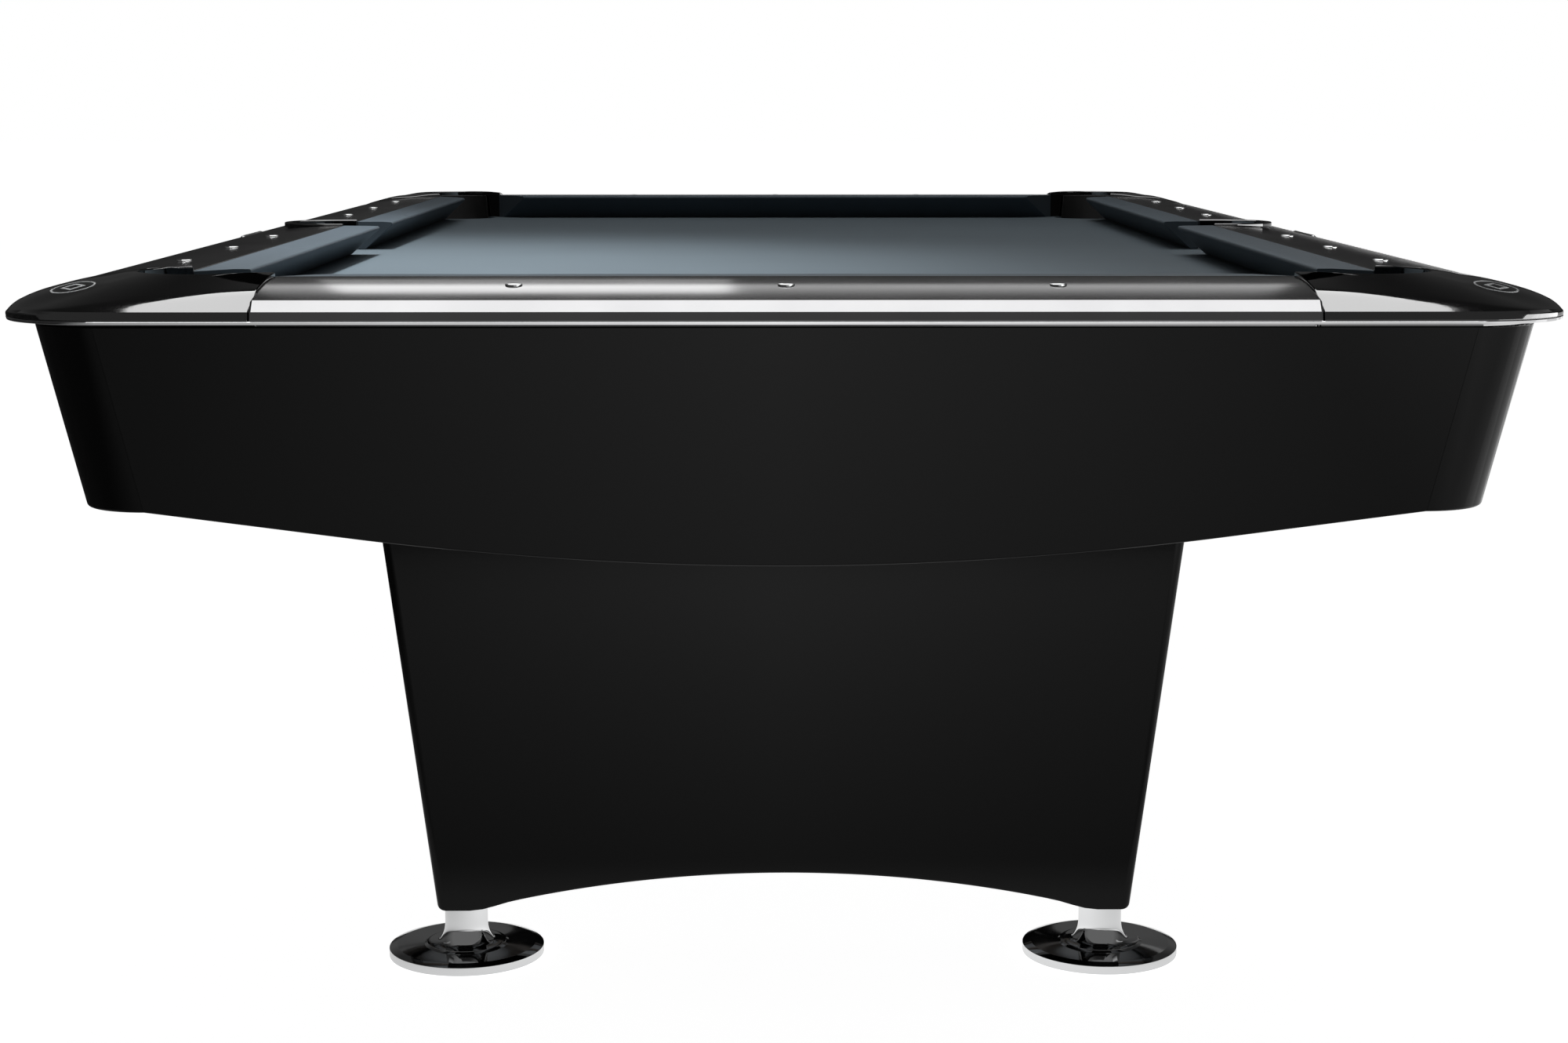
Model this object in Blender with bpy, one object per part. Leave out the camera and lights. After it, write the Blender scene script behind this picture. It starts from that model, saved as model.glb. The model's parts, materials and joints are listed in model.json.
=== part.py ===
"""Eight-foot drop-pocket pool table: cabinet, three-piece slate, rails, cushions, pockets and pedestals.

Units are metres. +X is across the table, +Y along it, +Z up. The origin is on the floor, under the
table's centre. "near" is the -Y end and "left" is the -X side.
"""
import math

import bmesh
import bpy

for leftover in list(bpy.data.objects):
    bpy.data.objects.remove(leftover, do_unlink=True)

# Driving dimensions
FIELD_WIDTH = 1.12
FIELD_LENGTH = 2.24
RAIL_WIDTH = 0.21
CUSHION_WIDTH = 0.055
BED_HEIGHT = 0.760
RAIL_RISE = 0.041
GAP = 0.0003

NOSE_X = FIELD_WIDTH / 2
NOSE_Y = FIELD_LENGTH / 2
FEATHER_X = NOSE_X + CUSHION_WIDTH
FEATHER_Y = NOSE_Y + CUSHION_WIDTH
OUTER_X = NOSE_X + RAIL_WIDTH
OUTER_Y = NOSE_Y + RAIL_WIDTH
RAIL_TOP = BED_HEIGHT + RAIL_RISE
RAIL_BOTTOM = BED_HEIGHT + GAP

# Rail section: a crowned top, then (inset from the outer edge, drop below the rail top)
TOP_WIDTH = RAIL_WIDTH - CUSHION_WIDTH
CREASE = (0.012, 0.0138)
BEVEL_FOOT = (0.002, 0.0243)
FACE_FOOT = (0.0, 0.0332)
LIP_FOOT = (0.003, 0.0366)
LEDGE_INSET = 0.032
OUTER_RADIUS = 0.11

# Pockets
CORNER_SETBACK_X = 0.0275
CORNER_SETBACK_Y = 0.0325
CORNER_X = NOSE_X + CORNER_SETBACK_X
CORNER_Y = NOSE_Y + CORNER_SETBACK_Y
SIDE_SETBACK = 0.077
SIDE_X = NOSE_X + SIDE_SETBACK
MOUTH = 0.0665
BORE = 0.068
BORE_POINTS = 13
LINER_RADIUS = 0.067
LINER_WALL = 0.003
LINER_FOOT_RADIUS = 0.052
LINER_BOTTOM = 0.640
LINER_TAPER_TOP = 0.715
LINER_BACK_TOP = RAIL_TOP - 0.0025
CAP_RISE = 0.0055
CAP_RISE_REACH = 0.115
CAP_STATIONS = (0.0, 0.12, 0.26, 0.42, 0.7, 1.0)
COLLAR_RADIUS = 0.0715
COLLAR_TOP = RAIL_TOP + 0.0025
COLLAR_BEAD = 0.0012
COLLAR_SKIRT = 0.790

# The corner caps meet the rails where the pocket's 45 degree walls meet the feather lines.
WING = math.sqrt(2) * BORE
END_JOINT_X = CORNER_X + (FEATHER_Y - CORNER_Y) - WING
SIDE_JOINT_Y = CORNER_Y + (FEATHER_X - CORNER_X) - WING

# Bed
CLOTH_THICKNESS = 0.0007
SLATE_THICKNESS = 0.025
SLATE_TOP = BED_HEIGHT - CLOTH_THICKNESS - GAP
SLATE_BOTTOM = SLATE_TOP - SLATE_THICKNESS
SLATE_HALF_X = 0.705
SLATE_HALF_Y = 1.265
CLOTH_HALF_X = 0.650
CLOTH_HALF_Y = 1.210
SLATE_SEAM_Y = FIELD_LENGTH / 6

LINER_FRONT_TOP = SLATE_TOP - 0.0015

# Cabinet
CABINET_HALF_X = 0.740
CABINET_HALF_Y = 1.300
CABINET_TOP = BED_HEIGHT
CABINET_RADIUS = 0.070
CABINET_WALL = 0.022
CABINET_LEAN = 0.036 / 0.188
CABINET_MIDDLE_BOTTOM = 0.517
CABINET_CORNER_BOTTOM = 0.5735
ARC_SHARE = 0.7

# Frame under the slates
LONG_BEAM_X = (0.360, 0.405)
LONG_BEAM_HALF_Y = 1.20
LONG_BEAM_BOTTOM = 0.600
CROSS_BEAM_BOTTOM = 0.680
CROSS_BEAM_HALF_X = 0.698
CROSS_BEAM_WIDTH = 0.090
OUTER_CROSS_Y = 0.985

# Pedestals
PEDESTAL_Y = 0.885
PEDESTAL_BOTTOM = 0.071
PEDESTAL_HALF_X = 0.3915
PEDESTAL_SIDE_LEAN = 0.050 / 0.409
PEDESTAL_HALF_Y = 0.070
PEDESTAL_FACE_LEAN = 0.015 / 0.529
PEDESTAL_WALL = 0.022
PEDESTAL_CHAMFER = 0.010
ARCH_TOP = 0.115
ARCH_HALF_X = 0.355
FOOT_BLOCK_TOP = 0.118
FOOT_BLOCK_INNER_X = 0.344

# Levelling feet
FOOT_X = 0.3665
FOOT_RADIUS = 0.089
STEM_RADIUS = 0.0245
SPINDLE_RADIUS = 0.008
SPINDLE_BORE = 0.0085
SPINDLE_TOP = 0.190
PAD_RADIUS = 0.084
PAD_THICKNESS = 0.004
PIVOT_RADIUS = 0.006
PIVOT_TOP = 0.0073
# Disc, hub and trumpet from the rim inwards and up, as (radius, height)
FOOT_CURVE = ((FOOT_RADIUS, 0.0105), (0.080, 0.0130), (0.048, 0.0132), (0.045, 0.0152), (0.036, 0.0165),
              (0.0315, 0.0190), (0.0280, 0.0260), (0.0255, 0.0370), (STEM_RADIUS, 0.0500))

# Finishes: colour, metallic, roughness
BLACK_GLOSS = ((0.010, 0.010, 0.010), 0.0, 0.12)
SATIN_METAL = ((0.30, 0.30, 0.30), 1.0, 0.35)
CLOTH = ((0.16, 0.20, 0.23), 0.0, 0.90)
SLATE = ((0.12, 0.13, 0.14), 0.0, 0.70)
TIMBER = ((0.45, 0.31, 0.18), 0.0, 0.65)
CHROME = ((0.80, 0.80, 0.80), 1.0, 0.06)
BLACK_RUBBER = ((0.02, 0.02, 0.02), 0.0, 0.80)
BLACK_PLASTIC = ((0.012, 0.012, 0.012), 0.0, 0.45)

ENDS = (("near", -1), ("far", 1))
SIDES = (("left", -1), ("right", 1))
SMOOTH_ANGLE = math.radians(35)


def add_object(name, mesh_builder, finish, location=(0, 0, 0)):
    """Turns a bmesh into a named, finished object with its faces pointing out."""
    bmesh.ops.recalc_face_normals(mesh_builder, faces=mesh_builder.faces)
    mesh = bpy.data.meshes.new(name)
    mesh_builder.to_mesh(mesh)
    mesh_builder.free()
    mesh.shade_smooth()
    mesh.set_sharp_from_angle(angle=SMOOTH_ANGLE)
    obj = bpy.data.objects.new(name, mesh)
    obj.location = location
    bpy.context.scene.collection.objects.link(obj)
    colour, metallic, roughness = finish
    material = bpy.data.materials.new(name)
    material.use_nodes = True
    shader = material.node_tree.nodes["Principled BSDF"]
    shader.inputs["Base Color"].default_value = (*colour, 1)
    shader.inputs["Metallic"].default_value = metallic
    shader.inputs["Roughness"].default_value = roughness
    mesh.materials.append(material)
    return obj


def loft(name, sections, finish):
    """Closed body through a row of outlines with equal point counts, capped at both ends."""
    builder = bmesh.new()
    rings = [[builder.verts.new(point) for point in section] for section in sections]
    count = len(rings[0])
    for ring, following in zip(rings, rings[1:]):
        for i in range(count):
            j = (i + 1) % count
            builder.faces.new((ring[i], ring[j], following[j], following[i]))
    builder.faces.new(rings[0])
    builder.faces.new(rings[-1])
    return add_object(name, builder, finish)


def prism(name, outline, low, high, finish):
    """Body with a flat outline, from one height to another."""
    return loft(name, [[(x, y, z) for x, y in outline] for z in (low, high)], finish)


def block(name, low, high, finish):
    """Rectangular body between two corners."""
    outline = [(low[0], low[1]), (high[0], low[1]), (high[0], high[1]), (low[0], high[1])]
    return prism(name, outline, low[2], high[2], finish)


def turned(name, profile, finish, location, steps=24):
    """Body turned about its own Z axis from (radius, height) points that start and end on the axis."""
    builder = bmesh.new()
    rings = []
    for radius, height in profile:
        spread = steps if radius else 1
        angles = [2 * math.pi * i / steps for i in range(spread)]
        rings.append([builder.verts.new((radius * math.cos(a), radius * math.sin(a), height))
                      for a in angles])
    for low, high in zip(rings, rings[1:]):
        for i in range(steps):
            j = (i + 1) % steps
            corners = [low[i % len(low)], low[j % len(low)], high[j % len(high)], high[i % len(high)]]
            builder.faces.new(list(dict.fromkeys(corners)))
    return add_object(name, builder, finish, location)


def turn_to(points, sign_x, sign_y):
    """Moves points made for the +X, +Y quarter into another quarter."""
    return [(x * sign_x, y * sign_y, z) for x, y, z in points]


def sweep(start, end, count):
    """Evenly spaced values, both ends included."""
    return [start + (end - start) * i / (count - 1) for i in range(count)]


# Rails, caps and cushions

def crown(inset):
    """Height of the rail's crowned top at an inset from the outer edge."""
    run = max(0.0, TOP_WIDTH - inset) / (TOP_WIDTH - CREASE[0])
    return RAIL_TOP - CREASE[1] * min(run, 1.0) ** 2


def rail_section(inner_inset):
    """Rail outline as (inset, height), from the inner bottom corner over the top and back."""
    top = [(inset, crown(inset)) for inset in sweep(inner_inset, CREASE[0], 6)]
    edge = [(inset, RAIL_TOP - drop) for inset, drop in (BEVEL_FOOT, FACE_FOOT, LIP_FOOT)]
    underside = [(LEDGE_INSET, RAIL_TOP - LIP_FOOT[1]), (LEDGE_INSET, RAIL_BOTTOM)]
    return [(inner_inset, RAIL_BOTTOM)] + top + edge + underside


def end_rail(name, sign_y):
    half = END_JOINT_X - GAP
    section = rail_section(TOP_WIDTH - GAP)
    ends = [[(x, sign_y * (OUTER_Y - inset), z) for inset, z in section] for x in (-half, half)]
    loft(name, ends, SATIN_METAL)


def side_rail(name, sign_x):
    """One long rail with a U-shaped bay for the side pocket in its inner edge."""
    half = SIDE_JOINT_Y - GAP
    draft = 0.0005
    bay = [(BORE + draft, FEATHER_X)]
    for angle in sweep(math.pi / 2, 0, 7):
        bay.append((BORE * math.sin(angle), SIDE_X + BORE * math.cos(angle)))
    stations = [(half, FEATHER_X)] + bay
    stations += [(-y, x) for y, x in reversed(stations[:-1])]
    sections = []
    for y, inner_x in stations:
        section = rail_section(OUTER_X - inner_x - GAP)
        sections.append([(sign_x * (OUTER_X - inset), y, z) for inset, z in section])
    loft(name, sections, SATIN_METAL)


def cap_height(x, y):
    """Corner cap top: the rail's crown, raised in a smooth dome round the pocket."""
    corner = (OUTER_X - OUTER_RADIUS, OUTER_Y - OUTER_RADIUS)
    if x > corner[0] and y > corner[1]:
        inset = OUTER_RADIUS - math.hypot(x - corner[0], y - corner[1])
    else:
        inset = min(OUTER_X - x, OUTER_Y - y)
    distance = math.hypot(x - CORNER_X, y - CORNER_Y)
    share = min(1.0, max(0.0, (CAP_RISE_REACH - distance) / (CAP_RISE_REACH - BORE)))
    return crown(inset) + CAP_RISE * share * share * (3 - 2 * share)


def cap_inner_path():
    """Cap's inner wall, from the end rail's joint round the pocket to the side rail's joint."""
    path = [(END_JOINT_X, FEATHER_Y)]
    for angle in sweep(math.radians(135), math.radians(-45), BORE_POINTS):
        path.append((CORNER_X + BORE * math.cos(angle), CORNER_Y + BORE * math.sin(angle)))
    return path + [(FEATHER_X, SIDE_JOINT_Y)]


def cap_outer_path():
    """Cap's outer edge as (x, y, outward direction), with as many points as the inner wall."""
    corner = (OUTER_X - OUTER_RADIUS, OUTER_Y - OUTER_RADIUS)
    end_straight = [(x, OUTER_Y, math.pi / 2) for x in sweep(END_JOINT_X, corner[0], 3)[:2]]
    arc = []
    for angle in sweep(math.pi / 2, 0, BORE_POINTS - 2):
        arc.append((corner[0] + OUTER_RADIUS * math.cos(angle),
                    corner[1] + OUTER_RADIUS * math.sin(angle), angle))
    side_straight = [(OUTER_X, y, 0.0) for y in sweep(corner[1], SIDE_JOINT_Y, 3)[1:]]
    return end_straight + arc + side_straight


def corner_cap(name, sign_x, sign_y):
    sections = []
    for (inner_x, inner_y), (outer_x, outer_y, way) in zip(cap_inner_path(), cap_outer_path()):
        out_x, out_y = math.cos(way), math.sin(way)
        crease_x, crease_y = outer_x - CREASE[0] * out_x, outer_y - CREASE[0] * out_y
        points = [(inner_x, inner_y, RAIL_BOTTOM)]
        for share in CAP_STATIONS:
            x = inner_x + (crease_x - inner_x) * share
            y = inner_y + (crease_y - inner_y) * share
            points.append((x, y, cap_height(x, y)))
        for inset, drop in (BEVEL_FOOT, FACE_FOOT, LIP_FOOT, (LEDGE_INSET, LIP_FOOT[1])):
            points.append((outer_x - inset * out_x, outer_y - inset * out_y, RAIL_TOP - drop))
        points.append((outer_x - LEDGE_INSET * out_x, outer_y - LEDGE_INSET * out_y, RAIL_BOTTOM))
        sections.append(turn_to(points, sign_x, sign_y))
    loft(name, sections, BLACK_GLOSS)


def side_cap(name, sign_x):
    """U-shaped collar round a side pocket: a level lip over the rail and a skirt inside its bay."""
    bead = COLLAR_BEAD
    inner = LINER_RADIUS - LINER_WALL
    skirt = BORE - GAP
    path = [(FEATHER_X + 2 * GAP, 1.0, 0.0)]
    half_turn = sweep(math.pi / 2, -math.pi / 2, BORE_POINTS)
    path += [(SIDE_X, math.sin(angle), math.cos(angle)) for angle in half_turn]
    path += [(FEATHER_X + 2 * GAP, -1.0, 0.0)]
    sections = []
    for centre_x, along, out in path:
        lip_low = crown(OUTER_X - centre_x - COLLAR_RADIUS * out) + GAP
        seat_low = max(lip_low, crown(OUTER_X - centre_x - skirt * out) + GAP)
        outline = [(inner, COLLAR_SKIRT), (inner, COLLAR_TOP - bead), (inner + bead, COLLAR_TOP),
                   (COLLAR_RADIUS - bead, COLLAR_TOP), (COLLAR_RADIUS, COLLAR_TOP - bead),
                   (COLLAR_RADIUS, seat_low), (skirt, seat_low), (skirt, COLLAR_SKIRT)]
        sections.append([(sign_x * (centre_x + radius * out), radius * along, z) for radius, z in outline])
    loft(name, sections, BLACK_GLOSS)


def cushion_section(nose, feather):
    """Wedge under the cloth, as (outward place, height): a sharp nose cut back to the bed."""
    undercut = 0.044
    floor_gap = 0.0008
    back = feather - 2 * GAP
    return [(nose, RAIL_TOP - 0.0006), (back, RAIL_TOP - GAP), (back, BED_HEIGHT + floor_gap),
            (nose + undercut, BED_HEIGHT + floor_gap)]


def end_cushion(name, sign_y):
    sections = []
    for side in (-1, 1):
        section = []
        for y, z in cushion_section(NOSE_Y, FEATHER_Y):
            facing_x = CORNER_X + (y - CORNER_Y) - math.sqrt(2) * MOUTH
            section.append((side * facing_x, sign_y * y, z))
        sections.append(section)
    loft(name, sections, CLOTH)


def side_cushion(name, sign_x, sign_y):
    corner_end = []
    pocket_end = []
    for x, z in cushion_section(NOSE_X, FEATHER_X):
        facing_y = CORNER_Y + (x - CORNER_X) - math.sqrt(2) * MOUTH
        corner_end.append((x, facing_y, z))
        pocket_end.append((x, MOUTH, z))
    loft(name, [turn_to(end, sign_x, sign_y) for end in (corner_end, pocket_end)], CLOTH)


# Bed and pockets

def corner_notch(half_x, half_y, radius):
    """Slot at the +X, +Y corner of the bed: an arc round the pocket, open towards the corner."""
    reach = radius / math.sqrt(2)
    low = (CORNER_X + reach, CORNER_Y - reach)
    high = (CORNER_X - reach, CORNER_Y + reach)
    notch = [(half_x, low[1] + half_x - low[0])]
    for angle in sweep(math.radians(-45), math.radians(-225), BORE_POINTS):
        notch.append((CORNER_X + radius * math.cos(angle), CORNER_Y + radius * math.sin(angle)))
    return notch + [(high[0] + half_y - high[1], half_y)]


def side_notch(half_x, radius):
    """Slot at the +X side of the bed, from its -Y side to its +Y side."""
    notch = [(half_x, -radius)]
    for angle in sweep(-math.pi / 2, -3 * math.pi / 2, BORE_POINTS):
        notch.append((SIDE_X + radius * math.cos(angle), radius * math.sin(angle)))
    return notch + [(half_x, radius)]


def flip(outline, sign_x, sign_y):
    """Mirrors part of an outline and keeps it running the same way round."""
    mirrored = [(sign_x * x, sign_y * y) for x, y in outline]
    return mirrored if sign_x * sign_y > 0 else mirrored[::-1]


def end_slate(name, sign_y):
    notch = corner_notch(SLATE_HALF_X, SLATE_HALF_Y, BORE)
    seam = SLATE_SEAM_Y + GAP
    outline = [(-SLATE_HALF_X, seam), (SLATE_HALF_X, seam)] + notch + flip(notch, -1, 1)
    prism(name, flip(outline, 1, sign_y), SLATE_BOTTOM, SLATE_TOP, SLATE)


def middle_slate(name):
    notch = side_notch(SLATE_HALF_X, BORE)
    seam = SLATE_SEAM_Y
    outline = [(SLATE_HALF_X, -seam)] + notch + [(SLATE_HALF_X, seam), (-SLATE_HALF_X, seam)]
    outline += flip(notch, -1, -1) + [(-SLATE_HALF_X, -seam)]
    prism(name, outline, SLATE_BOTTOM, SLATE_TOP, SLATE)


def bed_cloth(name):
    corner = corner_notch(CLOTH_HALF_X, CLOTH_HALF_Y, BORE)
    side = side_notch(CLOTH_HALF_X, BORE)
    outline = side + corner + flip(corner, -1, 1) + flip(side, -1, -1)
    outline += flip(corner, -1, -1) + flip(corner, 1, -1)
    prism(name, outline, BED_HEIGHT - CLOTH_THICKNESS, BED_HEIGHT, CLOTH)


def pocket_liner(name, x, y, outward, back_top):
    """Cup under a pocket: a full round below the bed, and its back half carried up behind the drop."""
    steps = 24
    bottom_inside = LINER_BOTTOM + LINER_WALL
    square_on = 0.01
    builder = bmesh.new()
    centre_low = builder.verts.new((0, 0, LINER_BOTTOM))
    centre_high = builder.verts.new((0, 0, bottom_inside))
    columns = []
    for i in range(steps):
        angle = 2 * math.pi * i / steps
        top = back_top if math.cos(angle - outward) > -square_on else LINER_FRONT_TOP
        inner = LINER_RADIUS - LINER_WALL
        outline = [(LINER_FOOT_RADIUS, LINER_BOTTOM), (LINER_RADIUS, LINER_TAPER_TOP), (LINER_RADIUS, top),
                   (inner, top), (inner, LINER_TAPER_TOP), (LINER_FOOT_RADIUS - LINER_WALL, bottom_inside)]
        columns.append([builder.verts.new((r * math.cos(angle), r * math.sin(angle), z)) for r, z in outline])
    for i in range(steps):
        column, following = columns[i], columns[(i + 1) % steps]
        for k in range(len(column) - 1):
            builder.faces.new((column[k], following[k], following[k + 1], column[k + 1]))
        builder.faces.new((centre_low, following[0], column[0]))
        builder.faces.new((centre_high, column[-1], following[-1]))
    add_object(name, builder, BLACK_PLASTIC, (x, y, 0))


# Cabinet and frame

def lean(height):
    """How far the cabinet's walls have moved in at a height."""
    return CABINET_LEAN * (CABINET_TOP - height)


def cabinet_bottom(place, half):
    """Lower edge of a cabinet panel: an arc that runs straight on towards the corners."""
    def rise(distance):
        arc = ARC_SHARE * half
        return distance ** 2 if distance < arc else 2 * arc * distance - arc ** 2
    whole = CABINET_CORNER_BOTTOM - CABINET_MIDDLE_BOTTOM
    return CABINET_MIDDLE_BOTTOM + whole * rise(abs(place)) / rise(half)


def cabinet_panel(name, half_along, half_across, place):
    """Leaning wall. place turns (along, outward, height) into a point."""
    half = half_along - CABINET_RADIUS - GAP
    sections = []
    for share in sweep(-1, 1, 17):
        low = cabinet_bottom(share * half, half)
        points = []
        for wall, height in ((0, low), (0, CABINET_TOP), (CABINET_WALL, CABINET_TOP), (CABINET_WALL, low)):
            moved = lean(height)
            points.append(place(share * (half - moved), half_across - moved - wall, height))
        sections.append(points)
    loft(name, sections, BLACK_GLOSS)


def cabinet_corner(name, sign_x, sign_y):
    sections = []
    levels = ((0, CABINET_CORNER_BOTTOM), (0, CABINET_TOP), (CABINET_WALL, CABINET_TOP),
              (CABINET_WALL, CABINET_CORNER_BOTTOM))
    for angle in sweep(0, math.pi / 2, 9):
        points = []
        for wall, height in levels:
            moved = lean(height) + CABINET_RADIUS
            radius = CABINET_RADIUS - wall
            points.append((CABINET_HALF_X - moved + radius * math.cos(angle),
                           CABINET_HALF_Y - moved + radius * math.sin(angle), height))
        sections.append(turn_to(points, sign_x, sign_y))
    loft(name, sections, BLACK_GLOSS)


def frame_beams():
    for side, sign_x in SIDES:
        low_x, high_x = sorted(sign_x * x for x in LONG_BEAM_X)
        block(f"frame_beam_{side}", (low_x, -LONG_BEAM_HALF_Y, LONG_BEAM_BOTTOM + GAP),
              (high_x, LONG_BEAM_HALF_Y, CROSS_BEAM_BOTTOM), TIMBER)
    for end, sign_y in ENDS:
        for label, y in (("inner", SLATE_SEAM_Y), ("outer", OUTER_CROSS_Y)):
            middle = sign_y * y
            block(f"frame_cross_{end}_{label}",
                  (-CROSS_BEAM_HALF_X, middle - CROSS_BEAM_WIDTH / 2, CROSS_BEAM_BOTTOM + GAP),
                  (CROSS_BEAM_HALF_X, middle + CROSS_BEAM_WIDTH / 2, SLATE_BOTTOM - GAP), TIMBER)


# Pedestals and feet

def pedestal_half_x(height):
    return PEDESTAL_HALF_X + PEDESTAL_SIDE_LEAN * (height - PEDESTAL_BOTTOM)


def pedestal_half_y(height):
    return PEDESTAL_HALF_Y + PEDESTAL_FACE_LEAN * (height - PEDESTAL_BOTTOM)


def arch(x):
    """Lower edge of a pedestal's wide panels: a parabola that eases out to two flat feet."""
    share = min(1.0, abs(x) / ARCH_HALF_X)
    blend = max(0.0, share - 0.85) / 0.15
    parabola = ARCH_TOP - (ARCH_TOP - PEDESTAL_BOTTOM) * share ** 2
    return parabola - blend * blend * (parabola - PEDESTAL_BOTTOM)


def wide_panel(name, centre_y, sign_y, facing):
    """Front or back of a pedestal, with its two upright edges chamfered on the outside."""
    edge = PEDESTAL_HALF_X - PEDESTAL_CHAMFER
    stations = [-PEDESTAL_HALF_X, -edge] + sweep(-ARCH_HALF_X, ARCH_HALF_X, 19) + [edge, PEDESTAL_HALF_X]
    sections = []
    for station in stations:
        cut = PEDESTAL_CHAMFER if abs(station) == PEDESTAL_HALF_X else 0.0
        low = arch(station)
        points = []
        for depth, height in ((cut, low), (cut, LONG_BEAM_BOTTOM), (PEDESTAL_WALL, LONG_BEAM_BOTTOM),
                              (PEDESTAL_WALL, low)):
            spread = pedestal_half_x(height) - PEDESTAL_HALF_X
            x = station + math.copysign(spread, station) * abs(station) / PEDESTAL_HALF_X
            y = centre_y + facing * (pedestal_half_y(height) - depth)
            points.append((x, sign_y * y, height))
        sections.append(points)
    loft(name, sections, BLACK_GLOSS)


def leaning_block(name, sign_x, sign_y, inner_x, levels, finish):
    """Piece between a pedestal's wide panels whose outer side leans with the pedestal."""
    sections = []
    for height in levels:
        half_y = pedestal_half_y(height) - PEDESTAL_WALL - GAP
        outer = pedestal_half_x(height)
        corners = [(inner_x(height), -half_y), (outer, -half_y), (outer, half_y), (inner_x(height), half_y)]
        sections.append([(sign_x * x, sign_y * (PEDESTAL_Y + y), height) for x, y in corners])
    return loft(name, sections, finish)


def narrow_panel(name, sign_x, sign_y):
    """Side of a pedestal, standing on its foot block."""
    leaning_block(name, sign_x, sign_y, lambda height: pedestal_half_x(height) - PEDESTAL_WALL,
                  (FOOT_BLOCK_TOP + GAP, LONG_BEAM_BOTTOM), BLACK_GLOSS)


def foot_block(name, sign_x, sign_y):
    """Block at a pedestal's lower corner, bored for the spindle that screws into it."""
    block_bottom = PEDESTAL_BOTTOM + GAP
    body = leaning_block(name, sign_x, sign_y, lambda height: FOOT_BLOCK_INNER_X,
                         (block_bottom, FOOT_BLOCK_TOP), BLACK_GLOSS)
    margin = 0.01
    profile = [(0, block_bottom - margin), (SPINDLE_BORE, block_bottom - margin),
               (SPINDLE_BORE, FOOT_BLOCK_TOP + margin), (0, FOOT_BLOCK_TOP + margin)]
    cutter = turned(f"{name}_cutter", profile, BLACK_GLOSS, (sign_x * FOOT_X, sign_y * PEDESTAL_Y, 0))
    cutter.hide_render = True
    cutter.display_type = "WIRE"
    cut = body.modifiers.new("spindle_hole", "BOOLEAN")
    cut.object = cutter
    cut.operation = "DIFFERENCE"
    cut.solver = "EXACT"


def foot(name, x, y):
    """Disc, trumpet stem and spindle in one piece, standing on its pad's pivot."""
    disc_low = PAD_THICKNESS + GAP
    socket = PIVOT_RADIUS + 0.0006
    stem_top = PEDESTAL_BOTTOM
    profile = [(0, PIVOT_TOP + GAP), (socket, PIVOT_TOP + GAP), (socket, disc_low), (FOOT_RADIUS, disc_low)]
    profile += FOOT_CURVE
    profile += [(STEM_RADIUS, stem_top), (SPINDLE_RADIUS, stem_top)]
    profile += [(SPINDLE_RADIUS, SPINDLE_TOP), (0, SPINDLE_TOP)]
    turned(name, profile, CHROME, (x, y, 0), steps=32)


def foot_pad(name, x, y):
    """Round pad that stays still on the floor while the foot turns on its pivot."""
    profile = [(0, 0), (PAD_RADIUS, 0), (PAD_RADIUS, PAD_THICKNESS), (PIVOT_RADIUS, PAD_THICKNESS),
               (PIVOT_RADIUS, PIVOT_TOP), (0, PIVOT_TOP)]
    turned(name, profile, BLACK_RUBBER, (x, y, 0))


def build_top():
    for end, sign_y in ENDS:
        end_rail(f"rail_end_{end}", sign_y)
        end_cushion(f"cushion_end_{end}", sign_y)
        end_slate(f"slate_{end}", sign_y)
        for side, sign_x in SIDES:
            corner_cap(f"corner_cap_{end}_{side}", sign_x, sign_y)
            side_cushion(f"cushion_{side}_{end}", sign_x, sign_y)
            outward = math.atan2(sign_y, sign_x)
            centre = (sign_x * CORNER_X, sign_y * CORNER_Y)
            pocket_liner(f"pocket_{end}_{side}", *centre, outward, LINER_BACK_TOP)
    for side, sign_x in SIDES:
        side_rail(f"rail_{side}", sign_x)
        side_cap(f"side_cap_{side}", sign_x)
        outward = 0.0 if sign_x > 0 else math.pi
        pocket_liner(f"pocket_middle_{side}", sign_x * SIDE_X, 0, outward, COLLAR_SKIRT - GAP)
    middle_slate("slate_middle")
    bed_cloth("bed_cloth")


def build_cabinet():
    for end, sign_y in ENDS:
        cabinet_panel(f"cabinet_end_{end}", CABINET_HALF_X, CABINET_HALF_Y,
                      lambda along, out, z, s=sign_y: (along, s * out, z))
        for side, sign_x in SIDES:
            cabinet_corner(f"cabinet_corner_{end}_{side}", sign_x, sign_y)
    for side, sign_x in SIDES:
        cabinet_panel(f"cabinet_side_{side}", CABINET_HALF_Y, CABINET_HALF_X,
                      lambda along, out, z, s=sign_x: (s * out, along, z))
    frame_beams()


def build_pedestals():
    for end, sign_y in ENDS:
        wide_panel(f"pedestal_{end}_outer", PEDESTAL_Y, sign_y, 1)
        wide_panel(f"pedestal_{end}_inner", PEDESTAL_Y, sign_y, -1)
        for side, sign_x in SIDES:
            narrow_panel(f"pedestal_{end}_{side}", sign_x, sign_y)
            foot_block(f"foot_block_{end}_{side}", sign_x, sign_y)
            place = (sign_x * FOOT_X, sign_y * PEDESTAL_Y)
            foot(f"foot_{end}_{side}", *place)
            foot_pad(f"foot_pad_{end}_{side}", *place)


build_top()
build_cabinet()
build_pedestals()
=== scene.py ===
"""Visual model, light and camera for the eight-foot drop-pocket pool table.

Units are metres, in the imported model's frame: +X across the table, +Y along it, +Z up, with the
origin on the floor under the table's centre. "near" is the -Y end and "left" is the -X side.
"""
import json
import math

import bmesh
import bpy
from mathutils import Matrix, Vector, noise

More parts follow.
